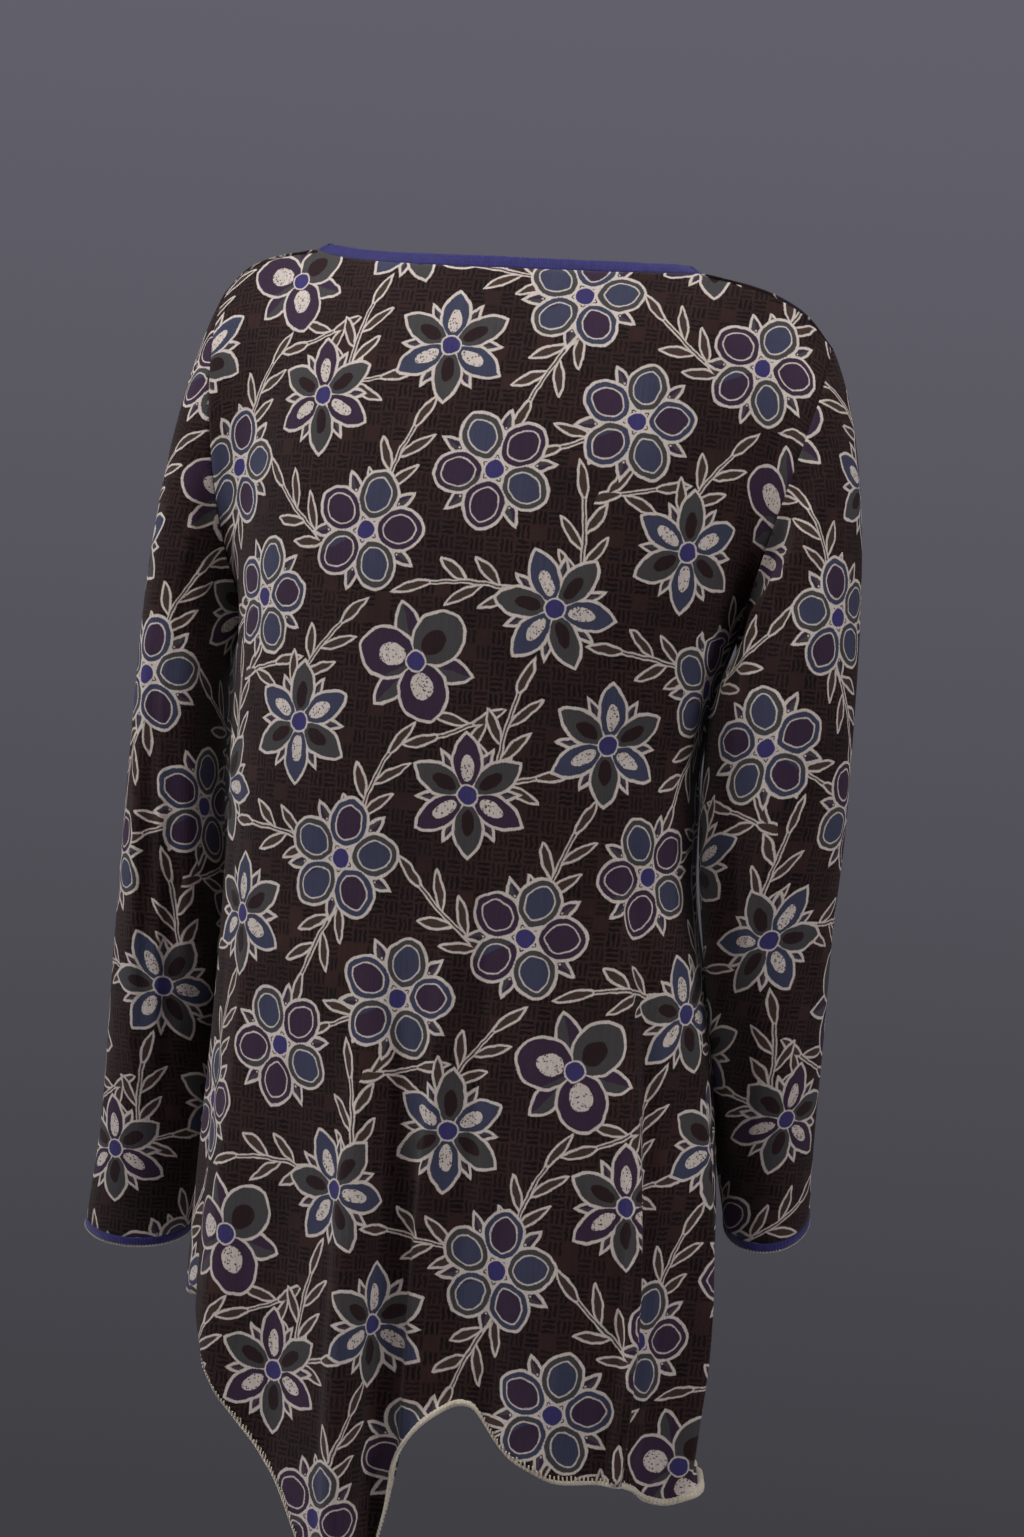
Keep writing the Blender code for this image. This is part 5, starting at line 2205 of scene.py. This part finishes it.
def evened(values: Points, passes: int, closed: bool = False) -> Points:
    """Directions or points along a line, smoothed.

    Args:
        values: The points or directions.
        passes: How often.
        closed: Whether it is a loop.

    Returns:
        The smoothed ones.
    """
    values = values.copy()
    for _ in range(passes):
        if closed:
            values = (np.roll(values, 1, axis=0) + 2 * values + np.roll(values, -1, axis=0)) / 4
        else:
            values[1:-1] = (values[:-2] + 2 * values[1:-1] + values[2:]) / 4
    return values


# Waves of hand-led sewing: share, radians for each metre, and radians for each unit of seed
WAVES = ((1.0, 61, 1.0), (0.7, 137, 2.1), (0.5, 291, 3.7))


def wavering(run: Points, size: float, seed: float) -> Points:
    """Slow uneven waves along a line, as hand-led sewing has."""
    waves = sum(share * np.sin(run * rate + shift * seed) for share, rate, shift in WAVES)
    return waves * size / 2


@dataclass
class Bindings:
    """The violet ribs: round the neck, down the front opening and round the cuffs."""

    cloth: Cloth
    finishes: Finishes
    width_neck: float = 0.0104
    width_front: float = 0.0122
    width_cuff: float = 0.0074
    thickness: float = 0.0028
    lap: float = 0.4 * MM
    width_waver: float = 0.5 * MM
    thickness_waver: float = 0.25 * MM
    corner: float = 3.2
    sides: int = 14
    step: float = 0.0025
    neck_ends: Optional[dict] = None

    def strip_along(
        self, edge: Points, normals: Points, towards: Points, width: float, closed: bool
    ) -> Strip:
        """A strip that carries on from an edge.

        Args:
            edge: The edge of the panel.
            normals: The cloth's normals there.
            towards: The ways out of the panel.
            width: The strip's width.
            closed: Whether the edge is a loop.

        Returns:
            The strip, with even points.
        """
        places = resample(edge, self.step, closed)
        edge, normals, towards = (read_at(v, places, closed) for v in (edge, normals, towards))
        normals = unit(evened(normals, EDGE_PASSES, closed))
        across = unit(towards - normals * np.sum(towards * normals, axis=1, keepdims=True))
        across = unit(evened(across, EDGE_PASSES, closed))
        middle = edge + across * (width / 2 - self.lap) - normals * SHEET_THICKNESS / 2
        return Strip(middle, across, normals, closed)

    def rib(self, name: str, strip: Strip, width: float, seed: float, *nodes: str) -> bpy.types.Object:
        """Sweeps one rib and dresses it.

        Args:
            name: The piece's name.
            strip: Its line.
            width: Its width.
            seed: What sets its waver.
            nodes: The solids that it stands for.

        Returns:
            The piece.
        """
        run = run_along(strip.middle)
        open_ended = 0.0 if strip.closed else 1.0
        widths = width + open_ended * wavering(run, self.width_waver, seed)
        thick = self.thickness + open_ended * wavering(run, self.thickness_waver, seed + 1)
        surface = strip.sweep(widths, thick, self.corner, self.sides)
        return seat(surface.make(name, (self.finishes.rib,)), RIB_SLOT, *nodes)

    def neck(self) -> bpy.types.Object:
        """The rib round the neck.

        Returns:
            The piece.
        """
        panels = self.cloth.panels
        past = SHOULDER_COLUMNS * COLUMN_SPLIT
        lines = []
        names = ("front_left", "back", "front_right")
        for part in ("points", "normals"):
            left, back, right = (getattr(panels[name], part)[:, 0] for name in names)
            lines.append(np.concatenate([left[past:][::-1], back[past + 1 : -past - 1], right[past:]]))
        edge, normals = lines
        tangent = unit(np.gradient(edge, axis=0))
        centre = np.array([0.0, 0.0, NECK_BAND_TOP])
        leaving = unit(np.cross(tangent, normals))
        leaving *= np.sign(np.sum(leaving * (centre - edge), axis=1, keepdims=True))
        leaving[[0, -1], 0] = 0.0
        leaving = unit(evened(leaving, NECK_PASSES))
        strip = self.strip_along(edge, normals, leaving, self.width_neck, False)
        self.neck_ends = {Side.LEFT: strip.across[0], Side.RIGHT: strip.across[-1]}
        piece = self.rib("neck_rib", strip, self.width_neck, 0.4, "neck_band")
        self.width_neck + self.thickness / 2
        return piece

    def front(self, side: Side) -> bpy.types.Object:
        """The rib down one edge of the front opening, up over the end of the neck rib.

        Args:
            side: Which edge.

        Returns:
            The piece.
        """
        patch = self.cloth.panels["front_" + side.word]
        edge, normals = patch.points[-1], patch.normals[-1]
        top = edge[0] + self.neck_ends[side] * self.width_neck
        edge = np.concatenate([[top], edge])
        normals = np.concatenate([normals[:1], normals])
        towards = np.tile([-float(side.value), 0.0, 0.0], (len(edge), 1))
        strip = self.strip_along(edge, normals, towards, self.width_front, False)
        name, node = f"front_{side.word}_rib", "front_band_" + side.word
        piece = self.rib(name, strip, self.width_front, 1.7 * side.value, node)
        self.width_front + self.thickness / 2
        return piece

    def cuff(self, side: Side) -> tuple[bpy.types.Object, Strip]:
        """The rib round one cuff, and the line of its lower edge.

        Args:
            side: Which cuff.

        Returns:
            The piece and the line.
        """
        patch = self.cloth.panels["sleeve_" + side.word]
        edge, normals = patch.points[:, -1], patch.normals[:, -1]
        down = unit(patch.points[:, -1] - patch.points[:, -3])
        strip = self.strip_along(edge, normals, down, self.width_cuff, True)
        piece = self.rib(f"cuff_{side.word}_rib", strip, self.width_cuff, 0.0, "cuff_band_" + side.word)
        low = Strip(strip.middle + strip.across * self.width_cuff / 2, -strip.across, strip.outward, True)
        return piece, low


@dataclass
class Overlocking:
    """The cream overlocked edges of the hem and the cuffs: a roll of thread and its stitches."""

    cloth: Cloth
    finishes: Finishes
    stitch_pitch: float = 0.0030
    roll_step: float = 0.0008
    roll_sides: int = 10
    ridge: float = 0.11
    past_share: float = 0.98
    least_step: float = 0.6 * MM
    thread_radius: float = 0.00058
    cuff_roll: float = 0.0009
    cuff_pitch: float = 0.0022
    cuff_tooth: float = 0.0013
    cuff_thread_radius: float = 0.00035
    hem_reach: float = 0.0016
    cuff_reach: float = 0.0008
    cuff_sink: float = 0.0003

    def __post_init__(self) -> None:
        """Builds the stitching tree."""
        self.tree = OverlockTree(self.finishes.thread)

    def hem_line(self) -> tuple[Strip, Points]:
        """The hem from the left front edge round the back to the right front edge.

        Returns:
            The line, with across looking up the cloth, and the angle of each of its points.
        """
        edges, ups, outs, angles = [], [], [], []
        for name, backwards in (("front_left", True), ("back", False), ("front_right", False)):
            patch = self.cloth.panels[name]
            order = slice(None, None, -1) if backwards else slice(None)
            edges.append(patch.points[order, -1])
            ups.append(unit(patch.points[order, -2] - patch.points[order, -1]))
            outs.append(patch.normals[order, -1])
            angles.append(patch.places[order, -1])
        edge, up, out, angle = (np.concatenate(v) for v in (edges, ups, outs, angles))
        for end, ahead in ((0, -1.0), (-1, 1.0)):
            reach = Bindings.width_front * self.past_share
            past = edge[end] + np.array([-np.sign(edge[end][0]) * reach, 0.0, 0.0])
            at = 0 if end == 0 else len(edge)
            added = ((edge, past), (up, up[end]), (out, out[end]))
            edge, up, out = (np.insert(line, at, new, axis=0) for line, new in added)
            angle = np.insert(angle, at, angle[end] + ahead)
        keep = np.concatenate([[True], np.linalg.norm(np.diff(edge, axis=0), axis=1) > self.least_step])
        edge, up, out, angle = edge[keep], up[keep], out[keep], angle[keep]
        edge = evened(edge, HEM_PASSES)
        up, out = unit(evened(up, TRIM_PASSES)), unit(evened(out, TRIM_PASSES))
        return Strip(edge - out * SHEET_THICKNESS / 2, up, out), angle

    def at_steps(self, strip: Strip, step: float) -> tuple[Strip, Points]:
        """The line read at even steps, and the places where it was read.

        Args:
            strip: The line.
            step: The distance between its points.

        Returns:
            The line and the places.
        """
        places = resample(strip.middle, step, strip.closed)
        lines = (strip.middle, strip.across, strip.outward)
        middle, across, outward = (read_at(line, places, strip.closed) for line in lines)
        outward = unit(outward)
        across = unit(across - outward * np.sum(across * outward, axis=1, keepdims=True))
        return Strip(middle, across, outward, strip.closed), places

    def roll(self, name: str, strip: Strip, radii: Points, pitch: float) -> bpy.types.Object:
        """The roll of thread along an edge, ridged by its stitches.

        Args:
            name: The piece's name.
            strip: Its line.
            radii: Its radius at each point.
            pitch: The distance between stitches.

        Returns:
            The piece.
        """
        run = run_along(strip.middle)
        ridged = radii * (1 + self.ridge * np.sin(2 * np.pi * run / pitch))
        surface = strip.sweep(2 * ridged, 2 * ridged, 2.0, self.roll_sides)
        return seat(surface.make(name, (self.finishes.thread,)), RIB_SLOT)

    def hem(self) -> list[bpy.types.Object]:
        """The hem's roll and stitches.

        Returns:
            The two pieces.
        """
        line, angles = self.hem_line()
        fine, places = self.at_steps(line, self.roll_step)
        styles = [smooth_table(HEM_STYLES, a) for a in read_at(angles, places)]
        radii = np.array([s.roll for s in styles])
        run = run_along(fine.middle)
        radii = radii * (1 + wavering(run, 0.10, 0.3))
        roll = self.roll("hem_overlock_roll", fine, radii, self.stitch_pitch)
        sparse, places = self.at_steps(line, self.stitch_pitch)
        teeth = np.array([smooth_table(HEM_STYLES, a).tooth for a in read_at(angles, places)])
        teeth = teeth * (1 + wavering(np.arange(len(teeth)) * 0.05, 0.30, 1.9))
        sizes = (self.thread_radius, self.hem_reach, SHEET_THICKNESS / 2)
        stitches = self.tree.stitch("hem_overlock_stitches", sparse, teeth, sizes)
        return [roll, seat(stitches, RIB_SLOT)]

    def cuff(self, side: Side, low: Strip) -> list[bpy.types.Object]:
        """The cream edge below one cuff's rib.

        Args:
            side: Which cuff.
            low: The line of the rib's lower edge.

        Returns:
            The roll and its stitches.
        """
        fine, _ = self.at_steps(low, self.roll_step)
        radii = np.full(len(fine.middle), self.cuff_roll)
        roll = self.roll(f"cuff_{side.word}_overlock_roll", fine, radii, self.cuff_pitch)
        sparse, _ = self.at_steps(low, self.cuff_pitch)
        teeth = np.full(len(sparse.middle), self.cuff_tooth)
        sizes = (self.cuff_thread_radius, self.cuff_reach, Bindings.thickness / 2 - self.cuff_sink)
        stitches = self.tree.stitch(f"cuff_{side.word}_overlock_stitches", sparse, teeth, sizes)
        return [roll, seat(stitches, RIB_SLOT)]


@dataclass(frozen=True)
class SoftLight:
    """One soft studio light. Place and aim in metres."""

    name: str
    place: tuple[float, float, float]
    aim: tuple[float, float, float]
    size: float
    power: float
    colour: tuple[float, float, float] = (1.0, 1.0, 1.0)

    def build(self) -> bpy.types.Object:
        """Hangs the light.

        Returns:
            The lamp.
        """
        data = bpy.data.lights.new(self.name, "AREA")
        data.shape, data.size, data.energy, data.color = "DISK", self.size, self.power, self.colour
        lamp = put(self.name, data)
        lamp.location = self.place
        ray = Vector(self.aim) - Vector(self.place)
        lamp.rotation_euler = ray.to_track_quat("-Z", "Y").to_euler()
        return lamp


@dataclass(frozen=True)
class Studio:
    """The floor, the lights and the camera at the photograph's viewing angle."""

    floor_z: float = -1.42
    floor_half: float = 0.95
    aim: tuple[float, float, float] = (-0.0248, -0.0026, -0.352)
    distance: float = 2.45
    swing: float = 13.0
    roll: float = 4.3
    view_height: float = 25.0
    sensor: float = 36.0
    air_low: tuple = tone(64, 63, 68)
    air_high: tuple = tone(98, 96, 106)
    air_span: float = 0.21
    lights: tuple = (
        SoftLight("key_softbox", (0.45, 1.2, 1.8), (0.0, 0.0, -0.3), 0.7, 31.0, (1.0, 0.98, 0.97)),
        SoftLight("left_softbox", (2.2, 1.2, 0.7), (0.0, 0.0, -0.35), 1.0, 50.0, (0.93, 0.95, 1.0)),
        SoftLight("right_softbox", (-2.3, 0.9, 0.7), (0.0, 0.0, -0.35), 1.0, 38.0, (0.97, 0.97, 1.0)),
        SoftLight("top_softbox", (0.1, 0.3, 1.9), (0.0, 0.0, -0.3), 1.4, 10.0),
        SoftLight("front_softbox", (0.4, -2.8, 0.8), (0.0, 0.0, -0.4), 1.8, 40.0),
    )

    def build(self) -> None:
        """Sets everything up."""
        self.camera()
        self.floor()
        for light in self.lights:
            light.build()
        self.air()
        bpy.context.scene.view_settings.view_transform = "Standard"

    def air(self) -> None:
        """Surrounds the garment with a plain grey that grows paler upwards."""
        world = bpy.data.worlds.new("studio_air")
        world.use_nodes = True
        t = Tree(world.node_tree)
        _, _, rise = t.parts(t.out("ShaderNodeTexCoord", {}, {}, "Generated"))
        share = (rise / (2 * self.air_span) + 0.5).most(0.0).least(1.0)
        colour = world.node_tree.nodes["Background"].inputs["Color"]
        t.feed(colour, t.mix(share, self.air_low, self.air_high))
        bpy.context.scene.world = world

    def camera(self) -> None:
        """Puts up the camera, level with the garment's middle, behind it and a little to its right."""
        data = bpy.data.cameras.new("photo_camera")
        data.sensor_width = self.sensor
        data.lens = self.sensor / 2 / math.tan(math.radians(self.view_height) / 2)
        data.clip_start, data.clip_end = 0.05, 50.0
        camera = put("photo_camera", data)
        swing, roll = math.radians(self.swing), math.radians(self.roll)
        back = Vector((-math.sin(swing), math.cos(swing), 0.0))
        right, up = Vector((0, 0, 1)).cross(back), Vector((0, 0, 1))
        rolled_right = right * math.cos(roll) + up * math.sin(roll)
        rolled_up = up * math.cos(roll) - right * math.sin(roll)
        axes = Matrix((rolled_right, rolled_up, back)).transposed()
        camera.matrix_world = Matrix.Translation(Vector(self.aim) + back * self.distance) @ axes.to_4x4()
        bpy.context.scene.camera = camera

    def floor(self) -> None:
        """Lays the pale floor."""
        half, z = self.floor_half, self.floor_z
        mesh = bpy.data.meshes.new("pale_floor")
        corners = [(-half, -half, z), (half, -half, z), (half, half, z), (-half, half, z)]
        mesh.from_pydata(corners, [], [(0, 1, 2, 3)])
        mesh.materials.append(StudioPaper().build())
        put("pale_floor", mesh)


def main() -> None:
    """Builds the garment's sheets and sewing, then the studio."""
    logging.basicConfig(level=logging.INFO, format="%(name)s %(message)s")
    Studio().build()
    finishes = Finishes.build()
    cloth = Cloth()
    pieces = cloth.dress(finishes)
    bindings = Bindings(cloth, finishes)
    overlocking = Overlocking(cloth, finishes)
    bindings.neck()
    trims = {"back": overlocking.hem()}
    for side in Side:
        bindings.front(side)
        rib, low = bindings.cuff(side)
        trims["sleeve_" + side.word] = [rib, *overlocking.cuff(side, low)]
    cloth.declare()


if __name__ == "__main__":
    main()
